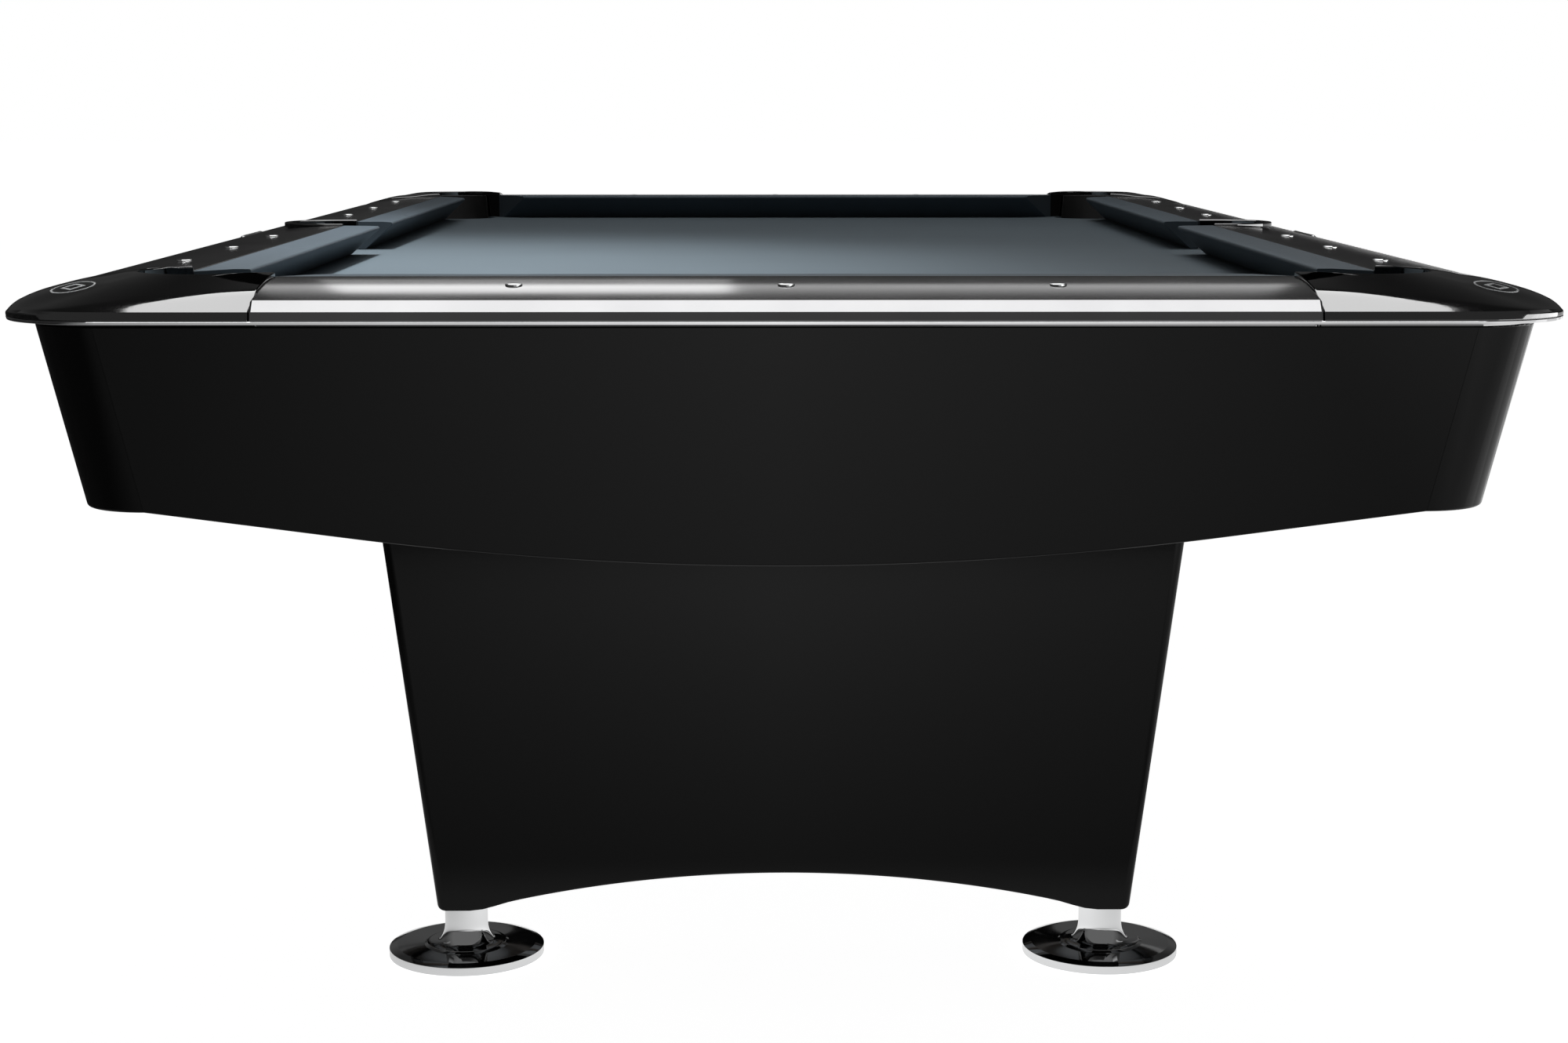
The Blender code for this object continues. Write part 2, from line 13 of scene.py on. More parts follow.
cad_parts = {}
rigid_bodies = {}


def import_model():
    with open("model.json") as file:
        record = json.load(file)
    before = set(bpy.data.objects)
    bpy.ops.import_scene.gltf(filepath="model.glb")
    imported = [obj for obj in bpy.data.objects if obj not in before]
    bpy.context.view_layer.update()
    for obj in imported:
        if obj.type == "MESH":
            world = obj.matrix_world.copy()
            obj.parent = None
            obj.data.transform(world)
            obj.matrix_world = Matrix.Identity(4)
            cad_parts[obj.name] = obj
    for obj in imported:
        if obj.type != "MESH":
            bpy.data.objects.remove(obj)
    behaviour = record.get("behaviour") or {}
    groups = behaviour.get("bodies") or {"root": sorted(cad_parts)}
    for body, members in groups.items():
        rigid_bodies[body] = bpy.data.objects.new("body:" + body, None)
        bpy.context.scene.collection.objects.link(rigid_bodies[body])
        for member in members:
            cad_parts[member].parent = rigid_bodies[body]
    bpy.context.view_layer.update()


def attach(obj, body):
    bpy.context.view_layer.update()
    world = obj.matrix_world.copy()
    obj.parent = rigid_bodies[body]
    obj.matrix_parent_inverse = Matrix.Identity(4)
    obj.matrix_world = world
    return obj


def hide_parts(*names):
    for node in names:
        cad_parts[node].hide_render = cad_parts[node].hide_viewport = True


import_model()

# Dimensions shared with the CAD

NOSE_X, NOSE_Y = 0.56, 1.12
CUSHION_WIDTH = 0.055
FEATHER_X, FEATHER_Y = NOSE_X + CUSHION_WIDTH, NOSE_Y + CUSHION_WIDTH
OUTER_X, OUTER_Y = 0.77, 1.33
BED_HEIGHT = 0.760
RAIL_TOP = 0.801
GAP = 0.0003
RAIL_BOTTOM = BED_HEIGHT + GAP
TOP_WIDTH = 0.155
SIDE_FLATTER = 0.0020
# Points of the outer edge, as (inset from it, drop below the rails' top)
CREASE = (0.012, 0.0138)
BEVEL_FOOT = (0.002, 0.0243)
FACE_FOOT = (0.0, 0.0332)
LIP_FOOT = (0.003, 0.0366)
TRIM_DEPTH, TRIM_REVEAL = 0.012, 0.0003
LEDGE_INSET = 0.032
OUTER_RADIUS = 0.11
ARC_CENTRE = (OUTER_X - OUTER_RADIUS, OUTER_Y - OUTER_RADIUS)

CORNER_X, CORNER_Y = 0.5875, 1.1525
SIDE_X = 0.637
MOUTH = 0.0665
BORE = 0.068
END_JOINT_X = CORNER_X + (FEATHER_Y - CORNER_Y) - math.sqrt(2) * BORE
SIDE_JOINT_Y = CORNER_Y + (FEATHER_X - CORNER_X) - math.sqrt(2) * BORE
COLLAR_RADIUS = 0.0715
COLLAR_TOP = RAIL_TOP + 0.0025
COLLAR_INNER = 0.064
COLLAR_SKIRT = 0.790

LINER_RADIUS = 0.0655
LINER_INNER = 0.064
LINER_FOOT_RADIUS = 0.052
LINER_BOTTOM = 0.640
LINER_TAPER_TOP = 0.715

CLOTH_THICKNESS = 0.0007
CLOTH_HALF_X, CLOTH_HALF_Y = 0.650, 1.210
CLOTH_FOLD, CLOTH_DROP = 0.0015, 0.0045
CLOTH_WALL = BORE - 0.0006
CLOTH_NOTCH = CLOTH_WALL + CLOTH_FOLD

CABINET_HALF_X, CABINET_HALF_Y = 0.740, 1.300
CABINET_TOP = BED_HEIGHT
CABINET_RADIUS = 0.070
CABINET_WALL = 0.022
CABINET_LEAN = 0.036 / 0.188
CABINET_MIDDLE_BOTTOM, CABINET_CORNER_BOTTOM = 0.517, 0.5735
ARC_SHARE = 0.7

PEDESTAL_Y = 0.885
PEDESTAL_TOP = 0.600
PEDESTAL_BOTTOM = 0.071
PEDESTAL_HALF_X, PEDESTAL_HALF_Y = 0.3915, 0.070
PEDESTAL_SIDE_LEAN = 0.050 / 0.409
PEDESTAL_FACE_LEAN = 0.015 / 0.529
PEDESTAL_WALL = 0.022
PEDESTAL_ROUND = 0.010
ARCH_TOP, ARCH_HALF_X = 0.115, 0.355

FOOT_X = 0.3665
FOOT_RADIUS = 0.089
STEM_RADIUS = 0.0245
SPINDLE_RADIUS, SPINDLE_TOP = 0.008, 0.190
PAD_RADIUS, PAD_THICKNESS = 0.084, 0.004
PIVOT_RADIUS, PIVOT_TOP = 0.006, 0.0073
SKIRT_RADIUS, SKIRT_LOW = PAD_RADIUS + 0.0006, 0.0010
# Corners of a foot's disc from its rim inwards, as (radius, height)
RIM_TOP, FLAT_EDGE, HUB_FOOT = (FOOT_RADIUS, 0.0106), (0.0795, 0.0132), (0.0485, 0.0134)
HUB_EDGE, HUB_TOWARDS, FLARE_FOOT = (0.0455, 0.0156), (0.0, 0.2), (0.0345, 0.0161)
FLARE_LOW, FLARE_HIGH, FLARE_REACH, FLARE_CURVE = 0.0168, 0.0424, 0.0078, 2.6
THREAD_DEPTH, THREADS = 0.0009, 46

SIGHT_RADIUS, SIGHT_RISE = 0.0085, 0.0020
SIDE_SIGHT_X, SIDE_SIGHT_STEP, SIDE_SIGHT_FIRST = 0.669, 0.2725, 0.329
END_SIGHT_Y, END_SIGHT_STEP = 1.250, 0.267
BADGE_PLACE, BADGE_RADIUS, BADGE_RING = (0.704, 1.228), 0.022, 0.0018
DIAMOND_OUTER, DIAMOND_INNER = 0.0125, 0.0090
BADGE_PROUD, BADGE_SUNK = 0.00035, 0.0006

ENDS = (("near", -1), ("far", 1))
SIDES = (("left", -1), ("right", 1))
QUARTERS = [(end, side, sign_x, sign_y) for end, sign_y in ENDS for side, sign_x in SIDES]
SMOOTH_ANGLE = math.radians(38)
TABLE = "table"


# Small helpers

def sweep(start, end, count):
    """Evenly spaced values, both ends included."""
    return [start + (end - start) * i / (count - 1) for i in range(count)]


def polar(centre, radius, angle):
    """Point at a distance and direction from a centre."""
    return (centre[0] + radius * math.cos(angle), centre[1] + radius * math.sin(angle))


def fillet(points, radii, steps=4):
    """Closed outline of 2-D points with each corner rounded to its radius."""
    outline = []
    for i, (point, radius) in enumerate(zip(points, radii)):
        corner = Vector(point)
        back = Vector(points[i - 1]) - corner
        ahead = Vector(points[(i + 1) % len(points)]) - corner
        angle = back.angle(ahead)
        if not radius or angle > math.radians(178):
            outline += [tuple(corner)] * (1 if not radius else steps + 1)
            continue
        reach = min(radius / math.tan(angle / 2), 0.48 * back.length, 0.48 * ahead.length)
        radius = reach * math.tan(angle / 2)
        centre = corner + (back.normalized() + ahead.normalized()).normalized() * radius / math.sin(angle / 2)
        start = corner + back.normalized() * reach - centre
        end = corner + ahead.normalized() * reach - centre
        turn = start.angle(end)
        for step in range(steps + 1):
            share = step / steps
            arm = (start * math.sin((1 - share) * turn) + end * math.sin(share * turn)) / math.sin(turn)
            outline.append(tuple(centre + arm))
    return outline


def new_object(name, data):
    """Object for a mesh, light or camera, in the scene."""
    made = bpy.data.objects.new(name, data)
    bpy.context.scene.collection.objects.link(made)
    return made


def new_mesh(name, builder, material):
    """Mesh with one material from a bmesh, which is used up."""
    mesh = bpy.data.meshes.new(name)
    builder.to_mesh(mesh)
    builder.free()
    mesh.materials.append(material)
    return mesh


def place_piece(name, mesh, node, body):
    """Puts a piece in the scene. It rides on a body and may stand for a CAD node."""
    piece = new_object(name, mesh)
    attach(piece, body)
    if node:
        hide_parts(node)
    return piece


def finish_piece(name, builder, finish, node=None, body=TABLE):
    """Turns a bmesh into a smoothly shaded piece. finish holds its material and a slot name, which is not
    used.
    """
    bmesh.ops.recalc_face_normals(builder, faces=builder.faces)
    material, slot = finish
    mesh = new_mesh(name, builder, material)
    mesh.shade_smooth()
    mesh.set_sharp_from_angle(angle=SMOOTH_ANGLE)
    return place_piece(name, mesh, node, body)


def join_rings(builder, rings, closed=False):
    """Faces between each ring of vertices and the next. closed joins the last to the first too."""
    ahead = rings[1:] + rings[:1] if closed else rings[1:]
    for ring, following in zip(rings, ahead):
        for i in range(len(ring)):
            j = (i + 1) % len(ring)
            builder.faces.new((ring[i], ring[j], following[j], following[i]))


def loft(name, sections, finish, node):
    """Closed piece through a row of outlines with equal point counts, in place of a CAD node."""
    builder = bmesh.new()
    rings = [[builder.verts.new(point) for point in section] for section in sections]
    join_rings(builder, rings)
    builder.faces.new(rings[0])
    builder.faces.new(rings[-1])
    return even_shading(finish_piece(name, builder, finish, node))


def even_shading(piece):
    """Lets a piece's large faces keep their own normals beside small rounded edges."""
    weighted = piece.modifiers.new("even_shading", "WEIGHTED_NORMAL")
    weighted.mode = "FACE_AREA"
    weighted.weight = 90
    weighted.keep_sharp = True
    return piece


def turned(name, profile, centre, finish, node=None, body=TABLE, steps=64):
    """Piece turned about +Z from (radius, height) points that start and end on its axis."""
    builder = bmesh.new()
    rings = []
    for radius, height in profile:
        spread = steps if radius else 1
        angles = [2 * math.pi * i / steps for i in range(spread)]
        rings.append([builder.verts.new((*polar(centre, radius, a), height)) for a in angles])
    for low, high in zip(rings, rings[1:]):
        for i in range(steps):
            j = (i + 1) % steps
            corners = [low[i % len(low)], low[j % len(low)], high[j % len(high)], high[i % len(high)]]
            builder.faces.new(list(dict.fromkeys(corners)))
    finish_piece(name, builder, finish, node, body)


def soften(piece, width, segments=3, angle=40):
    """Rounds a piece's hard edges."""
    for earlier in [m for m in piece.modifiers if m.type == "WEIGHTED_NORMAL"]:
        piece.modifiers.remove(earlier)
    bevel = piece.modifiers.new("soft_edges", "BEVEL")
    bevel.width = width
    bevel.segments = segments
    bevel.limit_method = "ANGLE"
    bevel.angle_limit = math.radians(angle)
    even_shading(piece)


def softened_copy(node, width, finish):
    """Copy of a CAD node with its edges rounded, which stands for the node."""
    material, slot = finish
    mesh = bpy.data.objects[node].data.copy()
    mesh.materials.clear()
    mesh.materials.append(material)
    soften(place_piece(f"{node}_finished", mesh, node, TABLE), width)


def turn_to(points, sign_x, sign_y):
    """Moves points made for the +X, +Y quarter into another quarter."""
    return [(x * sign_x, y * sign_y, z) for x, y, z in points]


# Materials

def grey_colour(value):
    return (value, value, value, 1)


class Nodes:
    """Short way to add shader nodes to a tree and join them up."""

    def __init__(self, tree, coordinates):
        self.tree = tree
        self.place = self.add("ShaderNodeTexCoord").outputs[coordinates]

    def add(self, kind, inputs=None, **settings):
        node = self.tree.nodes.new(kind)
        for key, value in settings.items():
            setattr(node, key, value)
        for key, value in (inputs or {}).items():
            self.put(node.inputs[key], value)
        return node

    def put(self, socket, value):
        if isinstance(value, bpy.types.NodeSocket):
            self.tree.links.new(value, socket)
        else:
            socket.default_value = value

    def stretched(self, scale):
        """Object coordinates scaled differently along each axis."""
        return self.add("ShaderNodeMapping", {"Vector": self.place, "Scale": scale}).outputs["Vector"]

    def noise(self, scale, detail=3.0, place=None, roughness=0.55):
        node = self.add("ShaderNodeTexNoise", {"Vector": place or self.place, "Scale": scale,
                                               "Detail": detail, "Roughness": roughness})
        return node.outputs["Fac"]

    def wave(self, direction, scale, distortion, detail, detail_scale, place=None):
        """Bands across one axis."""
        node = self.add("ShaderNodeTexWave", {"Vector": place or self.place, "Scale": scale,
                                              "Distortion": distortion, "Detail": detail,
                                              "Detail Scale": detail_scale}, bands_direction=direction)
        return node.outputs["Fac"]

    def ramp(self, value, stops):
        """Value through a ramp of (position, grey) stops. Positions run from 0 to 1."""
        node = self.add("ShaderNodeValToRGB", {"Fac": value})
        elements = node.color_ramp.elements
        while len(elements) < len(stops):
            elements.new(1.0)
        for element, (position, grey) in zip(elements, stops):
            element.position = position
            element.color = grey_colour(grey)
        return node.outputs["Color"]

    def between(self, value, low, high, start=0.3, end=0.7):
        """Value mapped from start..end to low..high."""
        return self.add("ShaderNodeMapRange", {"Value": value, "From Min": start, "From Max": end,
                                               "To Min": low, "To Max": high}).outputs["Result"]

    def mix(self, share, first, second):
        node = self.add("ShaderNodeMix", data_type="RGBA")
        self.put(node.inputs["Factor"], share)
        self.put(node.inputs[6], first)
        self.put(node.inputs[7], second)
        return node.outputs[2]

    def math(self, kind, first, second):
        node = self.add("ShaderNodeMath", operation=kind)
        self.put(node.inputs[0], first)
        self.put(node.inputs[1], second)
        return node.outputs["Value"]

    def bump(self, height, distance, strength=1.0):
        node = self.add("ShaderNodeBump", {"Height": height, "Distance": distance, "Strength": strength})
        return node.outputs["Normal"]


class MaterialNodes(Nodes):
    """Nodes of a new material, with its Principled BSDF to finish them."""

    def __init__(self, name):
        self.material = bpy.data.materials.new(name)
        self.material.use_nodes = True
        super().__init__(self.material.node_tree, "Object")
        self.shader = self.tree.nodes["Principled BSDF"]

    def finish(self, **values):
        for key, value in values.items():
            self.put(self.shader.inputs[key.replace("_", " ")], value)
        return self.material


def lacquer(name, grey, level, roughness, ior=1.5):
    """Black high gloss lacquer: a deep coat with the faintest orange peel and haze."""
    n = MaterialNodes(name)
    peel = n.noise(160, 2)
    haze = n.noise(6, 4)
    return n.finish(Base_Color=grey_colour(grey), Specular_IOR_Level=level, IOR=ior,
                    Roughness=n.between(haze, roughness * 0.85, roughness * 1.15),
                    Normal=n.bump(peel, 0.00002, 0.5))


def satin_metal(name, grey, roughness):
    """Grey anodised metal with a very fine blasted grain and slight clouding."""
    n = MaterialNodes(name)
    grain = n.noise(2400, 2)
    cloud = n.noise(9, 4)
    low, high = grey * 0.95, grey * 1.05
    shade = n.mix(n.between(cloud, 0, 1), (low, low, low * 1.01, 1), (high, high, high * 1.01, 1))
    return n.finish(Base_Color=shade, Metallic=1.0,
                    Roughness=n.between(cloud, roughness * 0.9, roughness * 1.1),
                    Normal=n.bump(grain, 0.000004, 0.5))


def chrome():
    n = MaterialNodes("polished_chrome")
    smears = n.noise(40, 4)
    scratches = n.noise(30, 2, n.stretched((1, 1, 40)))
    return n.finish(Base_Color=(0.86, 0.865, 0.87, 1), Metallic=1.0,
                    Roughness=n.between(smears, 0.035, 0.075),
                    Normal=n.bump(scratches, 0.000004, 0.4))


# The cloth's threads, and the bands in a metre of wave texture at scale 1
THREAD_PITCH, WAVE_BANDS = 0.0011, 3.2


def cloth(name, colour, roughness):
    """Worsted wool: a plain weave of fine threads under a thin, short nap."""
    n = MaterialNodes(name)
    warp, weft = [n.wave(way, 1 / THREAD_PITCH / WAVE_BANDS, 0.6, 1.0, 2.0) for way in "XY"]
    weave = n.math("MULTIPLY", warp, weft)
    nap = n.noise(1500, 3)
    wear = n.noise(3.5, 5)
    height = n.math("ADD", weave, n.math("MULTIPLY", nap, 0.7))
    dark = tuple(c * 0.93 for c in colour) + (1,)
    light = tuple(c * 1.06 for c in colour) + (1,)
    fibres = n.math("ADD", n.math("MULTIPLY", wear, 0.55), n.math("MULTIPLY", nap, 0.45))
    return n.finish(Base_Color=n.mix(n.between(fibres, 0, 1, 0.35, 0.65), dark, light),
                    Roughness=n.between(nap, roughness - 0.03, roughness + 0.03),
                    Specular_IOR_Level=0.3, Specular_Tint=(0.80, 0.92, 1.0, 1), Sheen_Weight=0.05,
                    Sheen_Roughness=0.4, Normal=n.bump(height, 0.00006, 0.35))


def slate():
    n = MaterialNodes("honed_slate")
    layers = n.noise(14, 6, n.stretched((1, 1, 8)))
    shade = n.mix(n.between(layers, 0, 1), (0.055, 0.060, 0.066, 1), (0.10, 0.105, 0.11, 1))
    return n.finish(Base_Color=shade, Roughness=n.between(layers, 0.5, 0.75),
                    Normal=n.bump(n.noise(220, 4), 0.0001, 0.4))


def timber():
    n = MaterialNodes("stained_timber")
    rings = n.wave("X", 22, 6, 3, 1.5, n.stretched((1, 0.06, 1)))
    shade = n.mix(rings, (0.022, 0.018, 0.015, 1), (0.040, 0.032, 0.026, 1))
    return n.finish(Base_Color=shade, Roughness=0.62, Normal=n.bump(rings, 0.0002, 0.3))


def moulded(name, grey, roughness):
    """Black moulded plastic or rubber with a fine leather-like grain."""
    n = MaterialNodes(name)
    cells = n.add("ShaderNodeTexVoronoi", {"Vector": n.place, "Scale": 700}, feature="DISTANCE_TO_EDGE")
    patches = n.noise(30, 3)
    return n.finish(Base_Color=n.mix(patches, grey_colour(grey * 0.8), grey_colour(grey * 1.2)),
                    Roughness=n.between(patches, roughness - 0.06, roughness + 0.06),
                    Specular_IOR_Level=0.3, Normal=n.bump(cells.outputs["Distance"], 0.00008, 0.4))


def inlay():
    """Silver-grey enamel of the badges, half matt so that it shows from every side."""
    n = MaterialNodes("badge_silver")
    cloud = n.noise(60, 3)
    return n.finish(Base_Color=(0.62, 0.63, 0.64, 1), Metallic=0.25,
                    Roughness=n.between(cloud, 0.40, 0.50))


CABINET_BLACK = (lacquer("cabinet_lacquer", 0.0020, 0.16, 0.08), "black_gloss")
CAP_BLACK = (lacquer("cap_gloss_black", 0.0025, 0.86, 0.045, 1.8), "cap_gloss")
RAIL_METAL = (satin_metal("satin_metal", 0.30, 0.12), "satin_metal")
TRIM_METAL = (satin_metal("trim_metal", 0.90, 0.06), "satin_metal")
CHROME = (chrome(), "chrome")
BED_CLOTH = (cloth("bed_cloth_wool", (0.117, 0.148, 0.171), 0.50), "cloth_bed")
CUSHION_CLOTH = (cloth("cushion_cloth_wool", (0.066, 0.084, 0.100), 0.60), "cloth_cushion")
SLATE = (slate(), "slate")
TIMBER = (timber(), "timber")
LINER = (moulded("pocket_liner_black", 0.010, 0.55), "pocket_liner")
RUBBER = (moulded("pad_rubber_black", 0.022, 0.80), "pad_rubber")
BADGE_ENAMEL = (inlay(), "chrome")


# Rails

INNER_ROUND, CREASE_ROUND, BEVEL_ROUND, FACE_ROUND = 0.0008, 0.0006, 0.0010, 0.0008


def crown(inset):
    """Height of the rail's crowned top at an inset from the outer edge."""
    run = max(0.0, TOP_WIDTH - inset) / (TOP_WIDTH - CREASE[0])
    return RAIL_TOP - CREASE[1] * min(run, 1.0) ** 2


def edge_points():
    """The rails' and caps' outer edge below the bevel, as (inset, drop), with room for the trim strip."""
    behind = TRIM_DEPTH + TRIM_REVEAL
    return [FACE_FOOT, (behind, FACE_FOOT[1]), (behind, LIP_FOOT[1]), (LEDGE_INSET, LIP_FOOT[1])]


def rail_section(inner_inset, tuck=0.0, flatter=0.0, crease_flatter=0.0):
    """Rail outline as (inset, height).

    tuck pulls it in for a rounded end. flatter lowers the top more and more towards the crease,
    and crease_flatter lowers the crease itself.
    """
    span = TOP_WIDTH - CREASE[0]
    top = [(inset, crown(inset) - flatter * (1 - (inset - CREASE[0]) / span) ** 2)
           for inset in sweep(inner_inset, CREASE[0], 31)[:-1]]
    top.append((CREASE[0], crown(CREASE[0]) - crease_flatter))
    edge = [(inset, RAIL_TOP - drop) for inset, drop in [BEVEL_FOOT] + edge_points()]
    points = [(inner_inset, RAIL_BOTTOM)] + top + edge + [(LEDGE_INSET, RAIL_BOTTOM)]
    radii = [0.0, INNER_ROUND] + [0.0] * (len(top) - 2) + [CREASE_ROUND, BEVEL_ROUND, FACE_ROUND] + [0.0] * 4
    outline = fillet(points, radii)
    if not tuck:
        return outline
    middle = (inner_inset + CREASE[0]) / 2
    return [(inset + math.copysign(min(tuck, abs(middle - inset)), middle - inset),
             max(height - tuck, RAIL_BOTTOM)) if height > RAIL_BOTTOM + 0.002 else (inset, height)
            for inset, height in outline]


def rounded_end(radius=0.0008, steps=4):
    """(distance from the end, how far the outline is pulled in) over a rounded end."""
    turns = [math.pi / 2 * i / steps for i in range(steps + 1)]
    return [(radius * (1 - math.cos(turn)), radius * (1 - math.sin(turn))) for turn in turns]


def end_rail(end, sign_y):
    half = END_JOINT_X - GAP
    rounding = rounded_end(0.0030, 6)
    stations = [(-half + d, tuck) for d, tuck in rounding]
    stations += [(half - d, tuck) for d, tuck in reversed(rounding)]
    sections = []
    for x, tuck in stations:
        outline = rail_section(TOP_WIDTH - GAP, tuck)
        sections.append([(x, sign_y * (OUTER_Y - inset), z) for inset, z in outline])
    loft(f"rail_end_{end}_satin", sections, RAIL_METAL, f"rail_end_{end}")


def side_rail(side, sign_x):
    """One long rail with a U-shaped bay for the side pocket in its inner edge.

    Beside the bay the crease isn't lowered with the rest of the top, so it stands 2 mm proud
    there. That is a known fault of the shape.
    """
    half = SIDE_JOINT_Y - GAP
    draft = 0.0005
    stations = [(half - d, FEATHER_X, tuck) for d, tuck in rounded_end()]
    stations.append((BORE + draft, FEATHER_X, 0.0))
    for angle in sweep(math.pi / 2, 0, 33):
        stations.append((BORE * math.sin(angle), SIDE_X + BORE * math.cos(angle), 0.0))
    stations += [(-y, x, tuck) for y, x, tuck in reversed(stations[:-1])]
    sections = []
    for y, inner_x, tuck in stations:
        crease_flatter = SIDE_FLATTER if inner_x == FEATHER_X else 0.0
        outline = rail_section(OUTER_X - inner_x - GAP, tuck, SIDE_FLATTER, crease_flatter)
        sections.append([(sign_x * (OUTER_X - inset), y, z) for inset, z in outline])
    loft(f"rail_{side}_satin", sections, RAIL_METAL, f"rail_{side}")


def trim_strip():
    """Bright metal strip that runs all round the table under the rails and caps."""
    top, bottom = RAIL_TOP - FACE_FOOT[1] - TRIM_REVEAL, RAIL_TOP - LIP_FOOT[1]
    section = [(0.0006, top), (0.0002, top - 0.0004), (0.0009, bottom + 0.0004), (0.0013, bottom),
               (TRIM_DEPTH, bottom), (TRIM_DEPTH, top)]
    builder = bmesh.new()
    rings = []
    for quarter, (sign_x, sign_y) in enumerate(((1, 1), (-1, 1), (-1, -1), (1, -1))):
        for step in range(25):
            angle = math.pi / 2 * (quarter + step / 24)
            corner = (sign_x * ARC_CENTRE[0], sign_y * ARC_CENTRE[1])
            rings.append([builder.verts.new((*polar(corner, OUTER_RADIUS - inset, angle), z))
                          for inset, z in section])
    join_rings(builder, rings, closed=True)
    even_shading(finish_piece("trim_strip", builder, TRIM_METAL))


# Corner caps

CAP_SLOPE = 0.265
CAP_BREAK = 0.068
CAP_BREAK_SOFT = 0.008
CAP_ROLL, CAP_ROLL_REACH = 0.0068, 0.0036
CAP_SIDE_ROLL, CAP_SIDE_REACH = 0.0048, 0.0034
CAP_SIDE_UNDERCUT = 0.0003
CAP_RISE, CAP_RISE_REACH = 0.0052, 0.110
CAP_FACET_SLOPE, CAP_FACET_SOFT = 0.35, 0.0003
CAP_FACET_INSET, CAP_FACET_TAPER = 0.0531, 0.239
CAP_MIN_FALL_WIDTH = 0.02
# Directions round the pocket, in degrees, over which a cap's side shape turns into its front shape
CAP_BLEND_START, CAP_BLEND_SPAN = 12.0, 36.0
CAP_RIM, CAP_FACE_ROUND, CAP_FOOT_ROUND = 0.0018, 0.004, 0.0010
# Where the outer face bends, as shares of its inset and its drop
CAP_BEND_IN, CAP_BEND_DOWN = 0.65, 0.35
# Share of the rounded corner over which the side's rounder edge fades out
CAP_ARC_SHARE = 0.6
# Insets of a cap's outermost rows, closer together where it rolls over
CAP_ROLL_INSETS = (0.0100, 0.0082, 0.0066, 0.0053, 0.0042, 0.0034, 0.0028, 0.0023)
CAP_STATIONS = 57


def eased(share):
    """0 to 1 with a soft start and end, and held outside that range."""
    share = min(1.0, max(0.0, share))
    return share * share * (3 - 2 * share)


def cap_inset(x, y):
    """Distance in from the outer edge, round the rounded corner too."""
    if x > ARC_CENTRE[0] and y > ARC_CENTRE[1]:
        return OUTER_RADIUS - math.dist((x, y), ARC_CENTRE)
    return min(OUTER_X - x, OUTER_Y - y)


def side_share(x, y):
    """1 on the part of a cap's edge that faces the table's side, easing to 0 at both joints."""
    arc_x, arc_y = ARC_CENTRE
    if y < arc_y:
        share = (y - SIDE_JOINT_Y) / (arc_y - SIDE_JOINT_Y)
    else:
        share = (1.0 - math.atan2(y - arc_y, max(x - arc_x, 1e-6)) / (math.pi / 2)) / CAP_ARC_SHARE
    return eased(share)


def cap_side_height(x, y, inset):
    """Towards the table's side: almost level round the pocket, then a steady fall that rolls over."""
    fall = CAP_SLOPE * CAP_BREAK_SOFT * math.log1p(math.exp((CAP_BREAK - inset) / CAP_BREAK_SOFT))
    rounder = side_share(x, y)
    roll = (CAP_ROLL + CAP_SIDE_ROLL * rounder) * math.exp(
        (BEVEL_FOOT[0] - inset) / (CAP_ROLL_REACH + CAP_SIDE_REACH * rounder))
    beside = min(1.0, max(0.0, (CORNER_Y - y) / (CORNER_Y - SIDE_JOINT_Y)))
    flatter = SIDE_FLATTER * beside * max(0.0, 1 - (inset - CREASE[0]) / (TOP_WIDTH - CREASE[0])) ** 2
    near_pocket = CAP_RISE_REACH - math.hypot(x - CORNER_X, y - CORNER_Y)
    rise = CAP_RISE * eased(near_pocket / (CAP_RISE_REACH - BORE))
    return RAIL_TOP - fall - roll - flatter + rise


def cap_front_height(x, y, inset):
    """Towards the table's end: a fall from the pocket's rim, then a steeper facet that tapers to a point."""
    facet_inset = CAP_FACET_INSET - CAP_FACET_TAPER * (x - END_JOINT_X)
    edge_height = RAIL_TOP - BEVEL_FOOT[1]
    facet = edge_height + CAP_FACET_SLOPE * (inset - BEVEL_FOOT[0])
    crease_height = edge_height + CAP_FACET_SLOPE * (facet_inset - BEVEL_FOOT[0])
    from_rim = max(0.0, math.hypot(x - CORNER_X, y - CORNER_Y) - BORE)
    share = from_rim / max(from_rim + inset - facet_inset, CAP_MIN_FALL_WIDTH)
    rim_height = RAIL_TOP + CAP_RISE
    upper = rim_height - (rim_height - crease_height) * share
    apart = abs(upper - facet) / CAP_FACET_SOFT
    return min(upper, facet) - CAP_FACET_SOFT * math.log1p(math.exp(-apart))


def cap_top(x, y):
    """Height of a cap's top, in the +X, +Y quarter."""
    inset = cap_inset(x, y)
    direction = math.degrees(math.atan2(y - CORNER_Y, x - CORNER_X))
    front = eased((direction - CAP_BLEND_START) / CAP_BLEND_SPAN) if direction > -90 else 1.0
    return cap_front_height(x, y, inset) * front + cap_side_height(x, y, inset) * (1 - front)


def even_path(points, count):
    """The same line with evenly spaced points."""
    lengths = [0.0]
    for a, b in zip(points, points[1:]):
        lengths.append(lengths[-1] + math.dist(a, b))
    spaced, piece = [], 0
    for along in sweep(0.0, lengths[-1], count):
        while piece < len(points) - 2 and along > lengths[piece + 1]:
            piece += 1
        share = (along - lengths[piece]) / max(lengths[piece + 1] - lengths[piece], 1e-9)
        spaced.append(tuple(a + (b - a) * min(share, 1.0) for a, b in zip(points[piece], points[piece + 1])))
    return spaced


